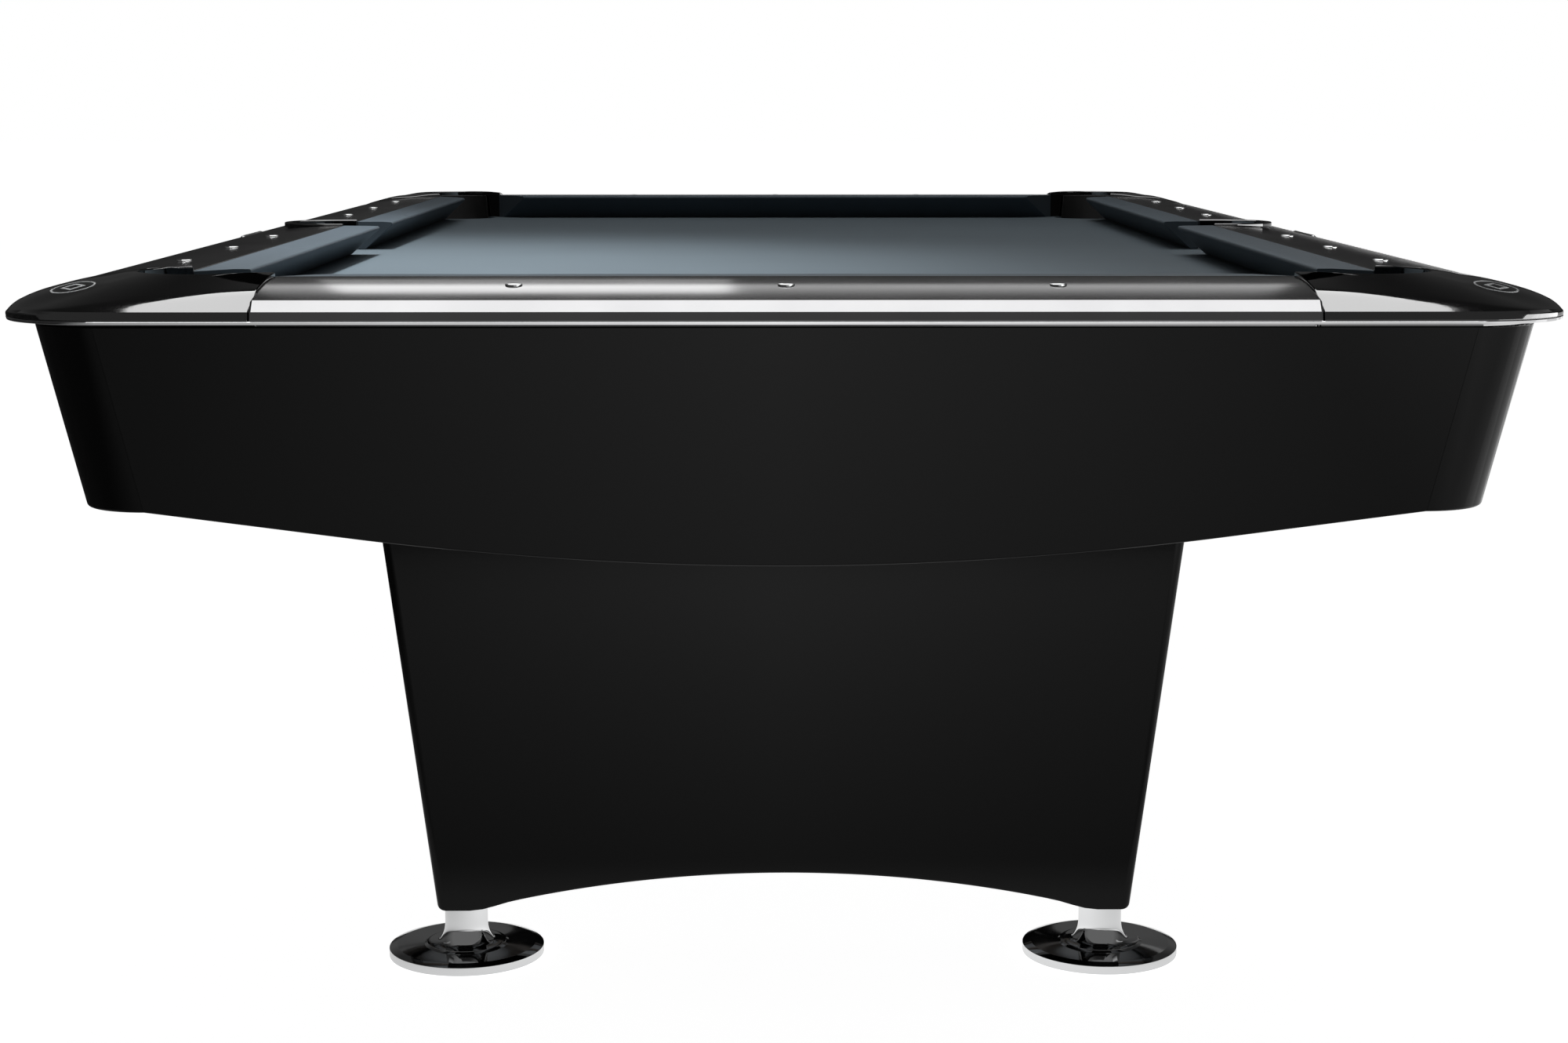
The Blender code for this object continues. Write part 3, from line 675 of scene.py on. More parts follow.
def cap_stations():
    """Pairs of inner wall point and outer edge point with its outward direction."""
    inner = [(END_JOINT_X, FEATHER_Y)]
    inner += [polar((CORNER_X, CORNER_Y), BORE, a)
              for a in sweep(math.radians(135), math.radians(-45), 61)]
    inner.append((FEATHER_X, SIDE_JOINT_Y))
    outer = [(END_JOINT_X, OUTER_Y, math.pi / 2)]
    outer += [(*polar(ARC_CENTRE, OUTER_RADIUS, a), a) for a in sweep(math.pi / 2, 0, 41)]
    outer.append((OUTER_X, SIDE_JOINT_Y, 0.0))
    return list(zip(even_path(inner, CAP_STATIONS), even_path(outer, CAP_STATIONS)))


def cap_ring(inner, outer, tuck):
    """Closed outline of the cap between one inner and one outer point."""
    def at(inset):
        return polar(outer, -inset, outer[2])

    def top_at(x, y, lower=0.0):
        return (x, y, max(cap_top(x, y) - lower - tuck, RAIL_BOTTOM))

    crease = at(CREASE[0])
    span = math.dist(inner, crease)
    rim = CAP_RIM / span
    across = [(rim * (1 - math.cos(a)), CAP_RIM * (1 - math.sin(a))) for a in sweep(0, math.pi / 2, 6)]
    across += [(rim + (1 - rim) * step, 0.0) for step in sweep(0, 1, 22)[1:]]
    ring = [(inner[0], inner[1], RAIL_BOTTOM)]
    for share, lower in across:
        ring.append(top_at(inner[0] + (crease[0] - inner[0]) * share,
                           inner[1] + (crease[1] - inner[1]) * share, lower))
    ring += [top_at(*at(inset)) for inset in CAP_ROLL_INSETS]
    foot = (BEVEL_FOOT[0], RAIL_TOP - cap_top(*at(BEVEL_FOOT[0])))
    rounder = side_share(*at(BEVEL_FOOT[0]))
    bend = (CAP_BEND_IN * BEVEL_FOOT[0] * (1 - rounder), foot[1] + CAP_BEND_DOWN * (FACE_FOOT[1] - foot[1]))
    face_foot = (CAP_SIDE_UNDERCUT * rounder, FACE_FOOT[1])
    edge = fillet([foot, bend, face_foot] + edge_points()[1:] + [(LEDGE_INSET, RAIL_TOP - RAIL_BOTTOM)],
                  [0, CAP_FACE_ROUND, CAP_FOOT_ROUND, 0, 0, 0, 0])
    for inset, drop in edge:
        x, y = at(inset + (tuck if inset < TRIM_DEPTH else 0.0))
        ring.append((x, y, RAIL_TOP - drop))
    return ring


def corner_cap(end, side, sign_x, sign_y):
    stations = cap_stations()
    rounding = rounded_end(0.0012)
    sections = []
    inner, outer = stations[0]
    for distance, tuck in rounding:
        sections.append(cap_ring((inner[0] + distance, inner[1]),
                                 (outer[0] + distance, outer[1], outer[2]), tuck))
    sections += [cap_ring(inner, outer, 0.0) for inner, outer in stations[1:-1]]
    inner, outer = stations[-1]
    for distance, tuck in reversed(rounding):
        sections.append(cap_ring((inner[0], inner[1] + distance),
                                 (outer[0], outer[1] + distance, outer[2]), tuck))
    sections = [turn_to(section, sign_x, sign_y) for section in sections]
    node = f"corner_cap_{end}_{side}"
    loft(f"{node}_gloss", sections, CAP_BLACK, node)


def side_collar(side, sign_x):
    """U-shaped collar with a rounded rim round a side pocket."""
    skirt = BORE - GAP
    path = [(FEATHER_X + 2 * GAP, 1.0, 0.0)]
    path += [(SIDE_X, math.sin(a), math.cos(a)) for a in sweep(math.pi / 2, -math.pi / 2, 41)]
    path += [(FEATHER_X + 2 * GAP, -1.0, 0.0)]
    sections = []
    for centre_x, along, out in path:
        lip_low = crown(OUTER_X - centre_x - COLLAR_RADIUS * out) + GAP
        seat_low = max(lip_low, crown(OUTER_X - centre_x - skirt * out) + GAP)
        points = [(COLLAR_INNER, COLLAR_SKIRT), (COLLAR_INNER, COLLAR_TOP), (COLLAR_RADIUS, COLLAR_TOP),
                  (COLLAR_RADIUS, seat_low), (skirt, seat_low), (skirt, COLLAR_SKIRT)]
        outline = fillet(points, [0, 0.0022, 0.0016, 0, 0, 0], 6)
        sections.append([(sign_x * (centre_x + r * out), r * along, z) for r, z in outline])
    piece = loft(f"side_collar_{side}", sections, CAP_BLACK, f"side_cap_{side}")
    soften(piece, 0.0006, 2, 60)


# Cushions

CUSHION_UNDERCUT, CUSHION_FLOOR = 0.044, BED_HEIGHT + 0.0008
CUSHION_SHOULDER, CUSHION_NOSE_DROP = 0.018, 0.0008
WAVER_HEIGHT, WAVER_SINK, WAVES_PER_METRE = 0.00025, 0.0001, 9


def cushion_outline(nose, feather, waver):
    """Cloth-covered rubber: a tight rounded nose, a slightly crowned top and a straight cut back."""
    back = feather - 2 * GAP
    top = RAIL_TOP - GAP
    points = [(nose, top - CUSHION_NOSE_DROP + waver), (nose + CUSHION_SHOULDER, top - 0.0001 + waver),
              (back, top), (back, CUSHION_FLOOR), (nose + CUSHION_UNDERCUT, CUSHION_FLOOR)]
    return fillet(points, [0.0028, 0.02, 0.0006, 0.0, 0.0012], 6)


def waver_at(along, row):
    """Tiny unevenness of stretched cloth along a cushion."""
    place = Vector((along * WAVES_PER_METRE, row * 7.3, 0.0))
    return WAVER_HEIGHT * noise.noise(place) - WAVER_SINK


def cushion(name, nose, feather, start_of, end_of, place, row):
    """Lofts a cushion between two facings. place turns (along, outward, height) into a point."""
    sections = []
    for share in sweep(0, 1, 61):
        middle = start_of(nose) + (end_of(nose) - start_of(nose)) * share
        outline = cushion_outline(nose, feather, waver_at(middle, row))
        sections.append([place(start_of(out) + (end_of(out) - start_of(out)) * share, out, z)
                         for out, z in outline])
    piece = loft(f"{name}_cloth", sections, CUSHION_CLOTH, name)
    soften(piece, 0.0010, 3, 50)


def build_cushions():
    reach = math.sqrt(2) * MOUTH

    def end_facing(out):
        return CORNER_X + (out - CORNER_Y) - reach

    def side_facing(out):
        return CORNER_Y + (out - CORNER_X) - reach

    for row, (end, sign_y) in enumerate(ENDS):
        cushion(f"cushion_end_{end}", NOSE_Y, FEATHER_Y, lambda out: -end_facing(out), end_facing,
                lambda along, out, z, s=sign_y: (along, s * out, z), row)
        for column, (side, sign_x) in enumerate(SIDES):
            cushion(f"cushion_{side}_{end}", NOSE_X, FEATHER_X, lambda out: MOUTH, side_facing,
                    lambda along, out, z, sx=sign_x, sy=sign_y: (sx * out, sy * along, z),
                    2 + 2 * row + column)


# Bed cloth and pockets

def sheet_edge(point, along):
    """Where a line out of a notch meets the sheet's edge. along is its direction, from -1 to 1."""
    run = min(CLOTH_HALF_X - along[0] * point[0], CLOTH_HALF_Y - along[1] * point[1])
    return (point[0] + along[0] * run, point[1] + along[1] * run)


def cloth_outline():
    """Flat sheet's outline, and the folds round the pockets as (centre, directions)."""
    outline, folds = [], []
    notches = ((1, 0, -90), (1, 1, -45), (-1, 1, 45), (-1, 0, 90), (-1, -1, 135), (1, -1, 225))
    for sign_x, sign_y, start in notches:
        centre = (sign_x * (CORNER_X if sign_y else SIDE_X), sign_y * CORNER_Y)
        ways = sweep(math.radians(start), math.radians(start - 180), 33)
        notch = [polar(centre, CLOTH_NOTCH, way) for way in ways]
        ends = [sheet_edge(point, (sign_x, sign_y)) for point in (notch[0], notch[-1])]
        outline += ends[:1] + notch + ends[1:]
        folds.append((centre, ways))
    return outline, folds


def bed_cloth():
    """Stretched sheet that turns down over the slate's edge at each pocket."""
    outline, folds = cloth_outline()
    builder = bmesh.new()
    verts = {}

    def vert(x, y, z):
        key = (round(x, 6), round(y, 6), round(z, 6))
        if key not in verts:
            verts[key] = builder.verts.new((x, y, z))
        return verts[key]

    ring = list(dict.fromkeys(vert(x, y, BED_HEIGHT) for x, y in outline))
    bmesh.ops.triangulate(builder, faces=[builder.faces.new(ring)])
    drops = [(CLOTH_NOTCH - CLOTH_FOLD * math.sin(a), BED_HEIGHT - CLOTH_FOLD * (1 - math.cos(a)))
             for a in sweep(0, math.pi / 2, 6)]
    drops.append((CLOTH_WALL, BED_HEIGHT - CLOTH_DROP))
    for centre, ways in folds:
        for a, b in zip(ways, ways[1:]):
            for (r0, z0), (r1, z1) in zip(drops, drops[1:]):
                corners = ((r0, a, z0), (r0, b, z0), (r1, b, z1), (r1, a, z1))
                builder.faces.new([vert(*polar(centre, r, way), z) for r, way, z in corners])
    piece = finish_piece("bed_cloth_wool", builder, BED_CLOTH, "bed_cloth")
    mesh = piece.data
    if sum(face.normal.z * face.area for face in mesh.polygons) < 0:
        mesh.flip_normals()
    solid = piece.modifiers.new("thickness", "SOLIDIFY")
    solid.thickness = CLOTH_THICKNESS
    solid.offset = -1
    even_shading(piece)


def pocket_liner(name, x, y, outward, back_top, bed_top):
    """Moulded cup: a full round below the bed whose back half carries on up behind the drop."""
    steps = 72
    wall = LINER_RADIUS - LINER_INNER
    bottom_inside = LINER_BOTTOM + 2 * wall
    ledge = 0.012
    builder = bmesh.new()
    centre_low = builder.verts.new((x, y, LINER_BOTTOM))
    centre_high = builder.verts.new((x, y, bottom_inside - 0.003))
    columns = []
    for i in range(steps):
        angle = 2 * math.pi * i / steps
        top = back_top if math.cos(angle - outward) > -0.01 else bed_top
        rib = 0.0008 * max(0.0, math.cos(12 * angle)) ** 4
        outline = [(LINER_FOOT_RADIUS - 0.004, LINER_BOTTOM), (LINER_FOOT_RADIUS, LINER_BOTTOM + 0.003),
                   (LINER_RADIUS, LINER_TAPER_TOP), (LINER_RADIUS, top - 0.0006),
                   (LINER_RADIUS - wall / 2, top), (LINER_INNER, top - 0.0006),
                   (LINER_INNER, LINER_TAPER_TOP + ledge), (LINER_INNER - 0.0015, LINER_TAPER_TOP),
                   (LINER_FOOT_RADIUS - wall - rib, bottom_inside + ledge),
                   (LINER_FOOT_RADIUS - wall - 0.006, bottom_inside), (0.020, bottom_inside - 0.002)]
        columns.append([builder.verts.new((*polar((x, y), r, angle), z)) for r, z in outline])
    for i in range(steps):
        column, following = columns[i], columns[(i + 1) % steps]
        for k in range(len(column) - 1):
            builder.faces.new((column[k], following[k], following[k + 1], column[k + 1]))
        builder.faces.new((centre_low, following[0], column[0]))
        builder.faces.new((centre_high, column[-1], following[-1]))
    finish_piece(f"{name}_cup", builder, LINER, name)


# Cabinet

def lean(height):
    """How far the cabinet's walls have moved in at a height."""
    return CABINET_LEAN * (CABINET_TOP - height)


def cabinet_bottom(place, half):
    """Lower edge of a cabinet panel: an arc that runs straight on towards the corners."""
    arc = ARC_SHARE * half

    def rise(distance):
        return distance ** 2 if distance < arc else 2 * arc * distance - arc ** 2

    whole = CABINET_CORNER_BOTTOM - CABINET_MIDDLE_BOTTOM
    return CABINET_MIDDLE_BOTTOM + whole * rise(abs(place)) / rise(half)


def wall_outline(low, bottom_round):
    """Cabinet wall in section as (depth from the outer face, height)."""
    points = [(0.0, low), (0.0, CABINET_TOP - GAP), (CABINET_WALL, CABINET_TOP - GAP), (CABINET_WALL, low)]
    return fillet(points, [bottom_round, 0.0008, 0.0008, 0.0015], 5)


def cabinet_panel(name, half_along, half_across, place):
    """Leaning wall. place turns (along, outward, height) into a point."""
    half = half_along - CABINET_RADIUS - GAP
    sections = []
    for share in sweep(-1, 1, 49):
        points = []
        for wall, height in wall_outline(cabinet_bottom(share * half, half), 0.0030):
            moved = lean(height)
            points.append(place(share * (half - moved), half_across - moved - wall, height))
        sections.append(points)
    loft(f"{name}_lacquered", sections, CABINET_BLACK, name)


def cabinet_corner(end, side, sign_x, sign_y):
    sections = []
    for angle in sweep(0, math.pi / 2, 25):
        points = []
        for wall, height in wall_outline(CABINET_CORNER_BOTTOM, 0.0030):
            moved = lean(height) + CABINET_RADIUS
            centre = (CABINET_HALF_X - moved, CABINET_HALF_Y - moved)
            points.append((*polar(centre, CABINET_RADIUS - wall, angle), height))
        sections.append(turn_to(points, sign_x, sign_y))
    node = f"cabinet_corner_{end}_{side}"
    loft(f"{node}_lacquered", sections, CABINET_BLACK, node)


def build_cabinet():
    for end, sign_y in ENDS:
        cabinet_panel(f"cabinet_end_{end}", CABINET_HALF_X, CABINET_HALF_Y,
                      lambda along, out, z, s=sign_y: (along, s * out, z))
        for side, sign_x in SIDES:
            cabinet_corner(end, side, sign_x, sign_y)
    for side, sign_x in SIDES:
        cabinet_panel(f"cabinet_side_{side}", CABINET_HALF_Y, CABINET_HALF_X,
                      lambda along, out, z, s=sign_x: (s * out, along, z))


# Pedestals

def pedestal_half_x(height):
    return PEDESTAL_HALF_X + PEDESTAL_SIDE_LEAN * (height - PEDESTAL_BOTTOM)


def pedestal_half_y(height):
    return PEDESTAL_HALF_Y + PEDESTAL_FACE_LEAN * (height - PEDESTAL_BOTTOM)


def arch(x):
    """Lower edge of a pedestal's wide panels: a parabola that eases out to two rounded feet."""
    share = min(1.0, abs(x) / ARCH_HALF_X)
    blend = max(0.0, share - 0.85) / 0.15
    parabola = ARCH_TOP - (ARCH_TOP - PEDESTAL_BOTTOM) * share ** 2
    return parabola - blend * blend * (parabola - PEDESTAL_BOTTOM)


def wide_panel(end, label, sign_y, facing):
    """Front or back of a pedestal, with its two upright edges rounded on the outside."""
    edge = PEDESTAL_HALF_X - PEDESTAL_ROUND
    rounding = [(edge + PEDESTAL_ROUND * math.sin(a), PEDESTAL_ROUND * (1 - math.cos(a)))
                for a in sweep(0, math.pi / 2, 8)]
    stations = [(-x, cut) for x, cut in reversed(rounding)]
    stations += [(x, 0.0) for x in sweep(-ARCH_HALF_X, ARCH_HALF_X, 49)] + rounding
    sections = []
    for station, cut in stations:
        low = arch(station) + 0.5 * cut
        corners = [(cut, low), (cut, PEDESTAL_TOP), (PEDESTAL_WALL, PEDESTAL_TOP), (PEDESTAL_WALL, low)]
        points = []
        for depth, height in fillet(corners, [0.0025, 0.0, 0.0, 0.0012], 4):
            spread = pedestal_half_x(height) - PEDESTAL_HALF_X
            x = station + math.copysign(spread, station) * abs(station) / PEDESTAL_HALF_X
            y = PEDESTAL_Y + facing * (pedestal_half_y(height) - depth)
            points.append((x, sign_y * y, height))
        sections.append(points)
    node = f"pedestal_{end}_{label}"
    loft(f"{node}_lacquered", sections, CABINET_BLACK, node)


def build_pedestals():
    for end, sign_y in ENDS:
        wide_panel(end, "outer", sign_y, 1)
        wide_panel(end, "inner", sign_y, -1)
        for side, _ in SIDES:
            softened_copy(f"pedestal_{end}_{side}", 0.0008, CABINET_BLACK)
            softened_copy(f"foot_block_{end}_{side}", 0.0010, CABINET_BLACK)


# Feet

def foot(end, side, x, y):
    """Polished disc with a bevelled rim, a hub step and a trumpet stem, on its spindle."""
    disc_low = PAD_THICKNESS + GAP
    socket = PIVOT_RADIUS + 0.0006
    corners = [(0.0, PIVOT_TOP + GAP), (socket, PIVOT_TOP + GAP), (socket, disc_low),
               (SKIRT_RADIUS, disc_low), (SKIRT_RADIUS, SKIRT_LOW), (FOOT_RADIUS, SKIRT_LOW),
               RIM_TOP, FLAT_EDGE, HUB_FOOT, HUB_EDGE]
    radii = [0, 0, 0.0002, 0.0003, 0.0003, 0.0006, 0.0006, 0.0006, 0.0004, 0.0006, 0]
    profile = fillet(corners + [HUB_TOWARDS], radii, 3)[:-1] + [FLARE_FOOT]
    for share in sweep(0, 1, 13):
        profile.append((STEM_RADIUS + FLARE_REACH * (1 - share) ** FLARE_CURVE,
                        FLARE_LOW + (FLARE_HIGH - FLARE_LOW) * share))
    profile += [(STEM_RADIUS, PEDESTAL_BOTTOM - 0.0012), (STEM_RADIUS - 0.0012, PEDESTAL_BOTTOM),
                (SPINDLE_RADIUS, PEDESTAL_BOTTOM)]
    for height in sweep(PEDESTAL_BOTTOM + 0.0025, SPINDLE_TOP - 0.004, THREADS):
        profile += [(SPINDLE_RADIUS, height - THREAD_DEPTH), (SPINDLE_RADIUS - THREAD_DEPTH, height)]
    profile += [(SPINDLE_RADIUS - 0.001, SPINDLE_TOP), (0.0, SPINDLE_TOP)]
    node = f"foot_{end}_{side}"
    turned(f"{node}_chromed", profile, (x, y), CHROME, node, f"screw_{node}", 96)


def foot_pad(end, side, x, y):
    """Rubber pad with shallow grip rings underneath and a pivot on top."""
    profile = [(0.0, 0.0008)]
    for radius in sweep(0.012, 0.072, 6):
        profile += [(radius, 0.0008), (radius + 0.002, 0.0), (radius + 0.006, 0.0), (radius + 0.008, 0.0008)]
    profile += [(PAD_RADIUS - 0.0035, 0.0), (PAD_RADIUS - 0.0008, 0.0), (PAD_RADIUS, 0.0008),
                (PAD_RADIUS, PAD_THICKNESS), (PIVOT_RADIUS, PAD_THICKNESS),
                (PIVOT_RADIUS, PIVOT_TOP), (0.0, PIVOT_TOP)]
    node = f"foot_pad_{end}_{side}"
    turned(f"{node}_rubber", profile, (x, y), RUBBER, node, f"pad_{end}_{side}")


# Sights and badges

def sight(name, x, y, inset):
    """Domed chrome stud let into a rail, upright and seated at the crowned top's height."""
    seat = crown(inset) - 0.0004
    profile = [(0.0, seat - 0.0020), (SIGHT_RADIUS - 0.0006, seat - 0.0020), (SIGHT_RADIUS - 0.0006, seat),
               (SIGHT_RADIUS, seat + 0.0003), (SIGHT_RADIUS, seat + 0.0011)]
    for angle in sweep(0.15, math.pi / 2, 9):
        profile.append((SIGHT_RADIUS * math.cos(angle) if angle < math.pi / 2 - 0.01 else 0.0,
                        seat + 0.0011 + (SIGHT_RISE - 0.0007) * math.sin(angle)))
    turned(name, profile, (x, y), CHROME, steps=40)


def build_sights():
    for end, sign_y in ENDS:
        for number, place in enumerate((-1, 0, 1), 1):
            sight(f"sight_end_{end}_{number}", place * END_SIGHT_STEP, sign_y * END_SIGHT_Y,
                  OUTER_Y - END_SIGHT_Y)
        for side, sign_x in SIDES:
            for number in range(3):
                y = sign_y * (SIDE_SIGHT_FIRST + number * SIDE_SIGHT_STEP)
                sight(f"sight_{side}_{end}_{number + 1}", sign_x * SIDE_SIGHT_X, y, OUTER_X - SIDE_SIGHT_X)


def inlaid(name, outlines, sign_x, sign_y):
    """Thin plate set in a cap's surface, between two matching outlines of (x, y) offsets."""
    outer, inner = outlines
    layers = ((outer, -BADGE_SUNK), (outer, BADGE_PROUD), (inner, BADGE_PROUD), (inner, -BADGE_SUNK))
    builder = bmesh.new()
    rings = []
    for offsets, lift in layers:
        ring = []
        for dx, dy in offsets:
            x, y = BADGE_PLACE[0] + dx, BADGE_PLACE[1] + dy
            ring.append(builder.verts.new((sign_x * x, sign_y * y, cap_top(x, y) + lift)))
        rings.append(ring)
    join_rings(builder, rings, closed=True)
    finish_piece(name, builder, BADGE_ENAMEL)


def circle(radius, count=64):
    return [polar((0, 0), radius, a) for a in sweep(0, 2 * math.pi, count + 1)[:-1]]


def diamond(size):
    corners = [(size, 0), (0, size), (-size, 0), (0, -size)]
    return even_path(corners + corners[:1], 33)[:-1]


def build_badges():
    """Plain ring round a small open diamond, in place of the real badge."""
    ring = (circle(BADGE_RADIUS), circle(BADGE_RADIUS - BADGE_RING))
    sign = (diamond(DIAMOND_OUTER), diamond(DIAMOND_INNER))
    for end, side, sign_x, sign_y in QUARTERS:
        inlaid(f"badge_ring_{end}_{side}", ring, sign_x, sign_y)
        inlaid(f"badge_diamond_{end}_{side}", sign, sign_x, sign_y)


def build_top():
    for end, sign_y in ENDS:
        end_rail(end, sign_y)
        for side, sign_x in SIDES:
            corner_cap(end, side, sign_x, sign_y)
            pocket_liner(f"pocket_{end}_{side}", sign_x * CORNER_X, sign_y * CORNER_Y,
                         math.atan2(sign_y, sign_x), RAIL_TOP - 0.0025, BED_HEIGHT - 0.006)
    for side, sign_x in SIDES:
        side_rail(side, sign_x)
        side_collar(side, sign_x)
        pocket_liner(f"pocket_middle_{side}", sign_x * SIDE_X, 0.0, 0.0 if sign_x > 0 else math.pi,
                     COLLAR_SKIRT - GAP, BED_HEIGHT - 0.006)
    trim_strip()
    build_cushions()
    bed_cloth()


def build_frame():
    for name in ("near", "middle", "far"):
        softened_copy(f"slate_{name}", 0.003, SLATE)
    for side, _ in SIDES:
        softened_copy(f"frame_beam_{side}", 0.002, TIMBER)
    for end, _ in ENDS:
        for label in ("inner", "outer"):
            softened_copy(f"frame_cross_{end}_{label}", 0.002, TIMBER)


def build_feet():
    for end, side, sign_x, sign_y in QUARTERS:
        foot(end, side, sign_x * FOOT_X, sign_y * PEDESTAL_Y)
        foot_pad(end, side, sign_x * FOOT_X, sign_y * PEDESTAL_Y)


# Studio

# Brightness of the floor in gloss, painted light: a painted pool of light with painted shadow round the table
# and painted shade to the left, across from x = -2 to 2 m, and away from the middle to |y| = 4 m
FLOOR_ACROSS = ((0.10, 0.02), (0.27, 0.35), (0.50, 1.0), (0.72, 0.55), (0.85, 0.95))
FLOOR_AWAY = ((0.12, 0.05), (0.16, 0.98), (0.30, 0.90), (0.33, 0.45), (0.52, 0.80), (0.70, 1.15),
              (0.775, 1.15), (0.81, 0.12))
FLOOR_GLOW = 0.97
# Brightness of the far wall in gloss, from its lower edge at WALL_LOW up to WALL_HIGH
WALL_DISTANCE, WALL_WIDTH, WALL_LOW, WALL_HIGH = 5.2, 3.6, 2.54, 4.4
FAR_WALL = ((0.0, 0.72), (0.18, 0.62), (0.40, 0.34), (0.60, 0.14), (0.80, 0.05), (1.0, 0.02))
# Brightness of the dark room in gloss, at elevations in degrees
ROOM = ((0.0, 0.018), (4.0, 0.024), (9.0, 0.060), (15.0, 0.060), (30.0, 0.02))
ROOM_NEAR, ROOM_FILL = 0.13, 0.04
METAL_PIECES = ("rail_", "trim_", "sight_")
DOWN, TO_NEAR, TO_LEFT = (0, 0, -1), (0, -1, 0), (-1, 0, 0)
SOFTBOX_X, SOFTBOX_Y = 0.035, -0.24
STRIP_X, STRIP_Y = -0.82, 5.1
LENS, SENSOR = 62.0, 36.0
CAMERA_PLACE = (-0.0225, -3.903, 0.977)
CAMERA_PITCH, CAMERA_TURN = math.radians(81.116), math.radians(-0.44)


def area_light(name, place, direction, size, strength, lights_matt=False, shows_in_gloss=True):
    """Softbox. strength is its surface brightness, where white paper in full light is about 1."""
    data = bpy.data.lights.new(name, "AREA")
    data.shape = "RECTANGLE"
    data.size, data.size_y = size
    data.energy = strength * size[0] * size[1] * math.pi
    light = new_object(name, data)
    light.location = place
    light.rotation_euler = Vector(direction).to_track_quat("-Z", "Y").to_euler()
    light.visible_camera = False
    light.visible_diffuse = lights_matt
    light.visible_glossy = shows_in_gloss
    return light


def shine_on(source, starts, only=True):
    """Let a light reach only the pieces whose names start this way, or every other piece."""
    receivers = bpy.data.collections.new(f"{source.name}_receivers")
    for piece in bpy.data.objects:
        if piece.type == "MESH" and piece.name.startswith(starts):
            receivers.objects.link(piece)
    for entry in receivers.collection_objects:
        entry.light_linking.link_state = "INCLUDE" if only else "EXCLUDE"
    source.light_linking.receiver_collection = receivers


def studio_floor():
    """White floor, lit from above and evenly bright to the camera. Gloss sees a painted pool of light on it,
    with painted shadow round the table and painted shade to the left.
    """
    builder = bmesh.new()
    bmesh.ops.create_grid(builder, x_segments=1, y_segments=1, size=60)
    n = MaterialNodes("studio_floor_white")
    x, y, _ = n.add("ShaderNodeSeparateXYZ", {"Vector": n.place}).outputs
    # Painted light for gloss only: a pool of light, darker round the table as painted shadow and darker to
    # the left as painted shade
    across = n.ramp(n.between(x, 0, 1, -2.0, 2.0), FLOOR_ACROSS)
    away = n.ramp(n.between(n.math("ABSOLUTE", y, 0.0), 0, 1, 0.0, 4.0), FLOOR_AWAY)
    beside = n.between(n.math("ABSOLUTE", x, 0.0), 0, 0.7, 0.85, 1.0)
    pool = n.math("MULTIPLY", across, n.math("MAXIMUM", away, beside))
    path = n.add("ShaderNodeLightPath").outputs
    glow = n.mix(path["Is Glossy Ray"], grey_colour(FLOOR_GLOW), pool)
    base = n.mix(path["Is Glossy Ray"], grey_colour(0.90), grey_colour(0.0))
    white = n.finish(Base_Color=base, Roughness=0.9, Specular_IOR_Level=0.0, Emission_Color=glow,
                     Emission_Strength=1.0)
    new_object("studio_floor", new_mesh("studio_floor", builder, white))


def studio_wall(name, turn, strength):
    """Reflector that only gloss sees, brightest along its lower edge. turn is about +Z."""
    builder = bmesh.new()
    half = WALL_WIDTH / 2
    corners = [(-half, WALL_DISTANCE, WALL_LOW), (half, WALL_DISTANCE, WALL_LOW),
               (half, WALL_DISTANCE, WALL_HIGH), (-half, WALL_DISTANCE, WALL_HIGH)]
    builder.faces.new([builder.verts.new(corner) for corner in corners])
    n = MaterialNodes(name)
    _, _, height = n.add("ShaderNodeSeparateXYZ", {"Vector": n.place}).outputs
    glow = n.ramp(n.between(height, 0, 1, WALL_LOW, WALL_HIGH), FAR_WALL)
    shine = n.finish(Base_Color=grey_colour(0), Specular_IOR_Level=0.0, Emission_Color=glow,
                     Emission_Strength=strength)
    wall = new_object(name, new_mesh(name, builder, shine))
    wall.rotation_euler.z = turn
    for ray in ("camera", "diffuse", "transmission", "shadow"):
        setattr(wall, f"visible_{ray}", False)
    return wall


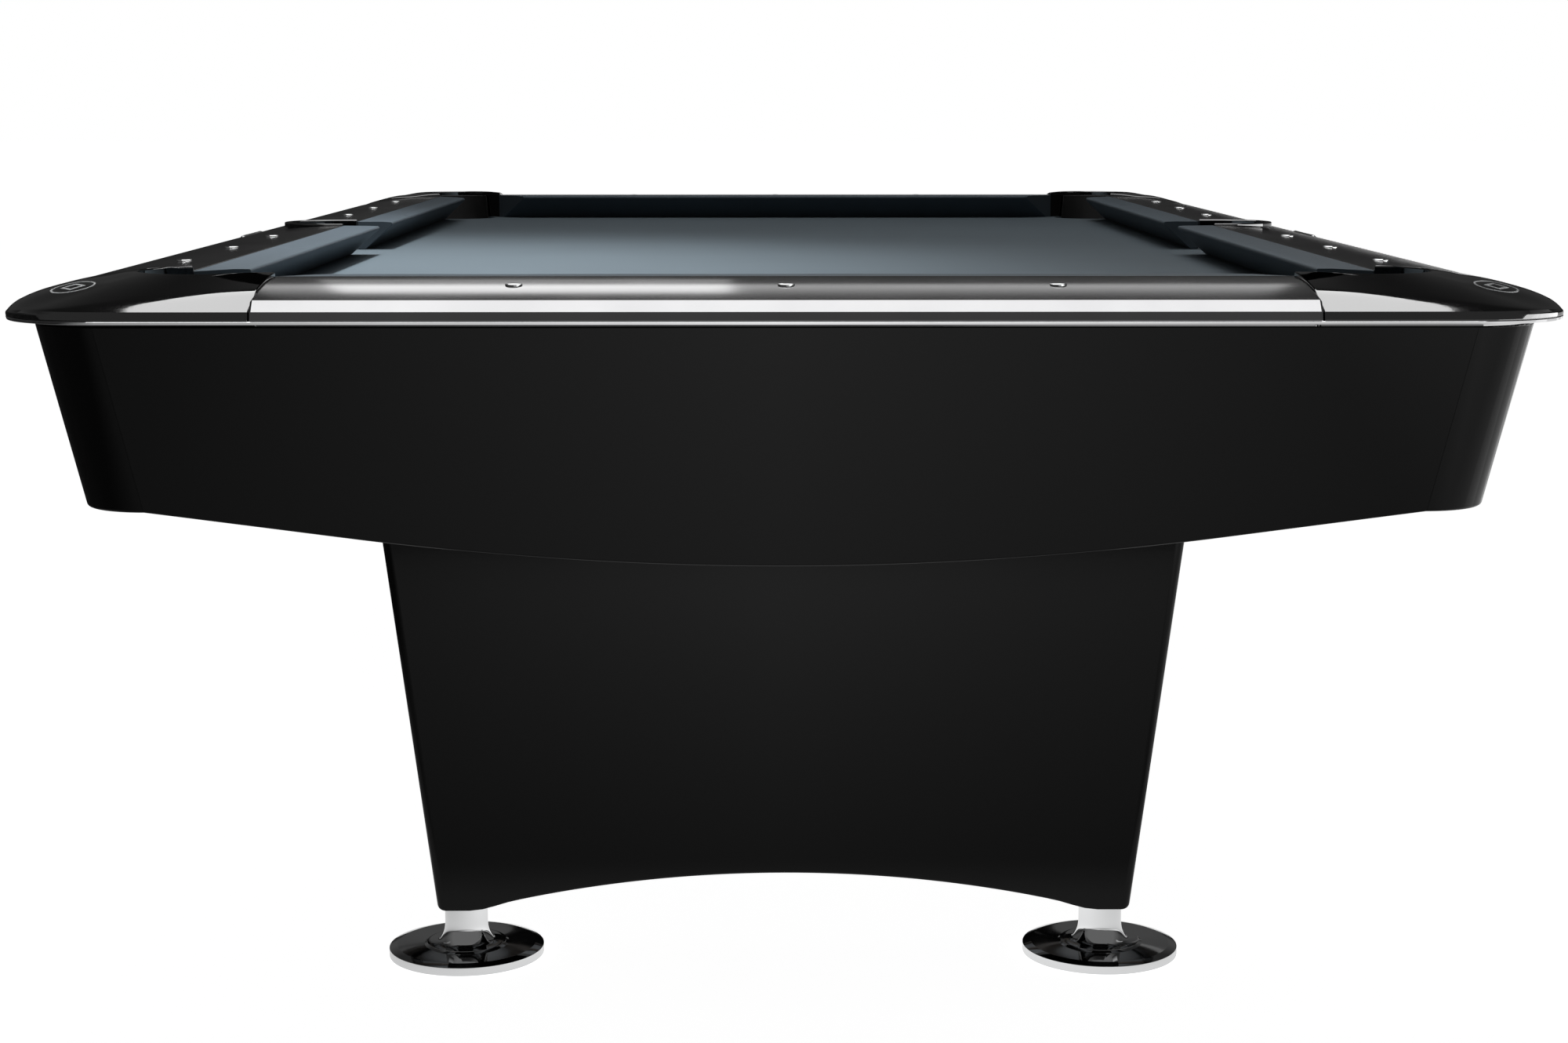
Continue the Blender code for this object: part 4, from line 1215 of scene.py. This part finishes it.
def studio_world():
    """White to the camera, a low even fill for matt surfaces, and a dark room in reflections."""
    world = bpy.data.worlds.new("studio")
    bpy.context.scene.world = world
    world.use_nodes = True
    world.node_tree.nodes.clear()
    n = Nodes(world.node_tree, "Generated")
    path = n.add("ShaderNodeLightPath").outputs
    _, ahead, up = n.add("ShaderNodeSeparateXYZ", {"Vector": n.place}).outputs
    steps = [(math.sin(math.radians(degrees)), grey) for degrees, grey in ROOM]
    room = n.mix(n.between(ahead, 0, 1, -0.4, 0.3), grey_colour(ROOM_NEAR), n.ramp(up, steps))
    matt = n.mix(path["Is Glossy Ray"], grey_colour(ROOM_FILL), room)
    seen = n.mix(path["Is Camera Ray"], matt, grey_colour(1))
    shine = n.add("ShaderNodeBackground", {"Color": seen})
    output = n.add("ShaderNodeOutputWorld")
    n.put(output.inputs["Surface"], shine.outputs[0])


def spot_lamp(name, place, width, cone, power):
    """Soft spot that looks straight down and fades out towards its cone's edge."""
    data = bpy.data.lights.new(name, "SPOT")
    data.shadow_soft_size = width
    data.spot_size = math.radians(cone)
    data.spot_blend = 1.0
    data.energy = power
    lamp = new_object(name, data)
    lamp.location = place
    lamp.visible_glossy = False


def studio_lights():
    area_light("overhead_softbox", (SOFTBOX_X, SOFTBOX_Y, 3.0), DOWN, (2.87, 4.72), 2.75)
    area_light("table_lamp", (0, 0, 4.6), DOWN, (1.4, 2.0), 1.65, lights_matt=True, shows_in_gloss=False)
    spot_lamp("near_lamp", (-0.60, -0.42, 4.2), width=0.25, cone=34, power=900)
    strip = area_light("far_strip", (STRIP_X, STRIP_Y, 2.95), TO_NEAR, (1.38, 0.78), 1.10)
    skirt = area_light("far_strip_skirt", (STRIP_X, STRIP_Y, 2.21), TO_NEAR, (1.38, 0.70), 0.28)
    beside = area_light("right_strip", (3.0, -2.0, 0.50), TO_LEFT, (4.8, 0.8), 3.7)
    shine_on(beside, ("foot_",), only=False)
    for source in (strip, skirt, studio_wall("far_wall", 0.0, 1.0)):
        shine_on(source, METAL_PIECES)
    studio_wall("left_wall", math.pi / 2, 0.25)
    studio_wall("right_wall", -math.pi / 2, 0.5)


def studio_camera():
    data = bpy.data.cameras.new("photo_camera")
    data.lens = LENS
    data.sensor_width = SENSOR
    camera = new_object("photo_camera", data)
    camera.location = CAMERA_PLACE
    camera.rotation_euler = (CAMERA_PITCH, 0.0, CAMERA_TURN)
    bpy.context.scene.camera = camera
    bpy.context.scene.view_settings.view_transform = "Standard"


build_top()
build_frame()
build_cabinet()
build_pedestals()
build_feet()
build_sights()
build_badges()
studio_floor()
studio_world()
studio_lights()
studio_camera()
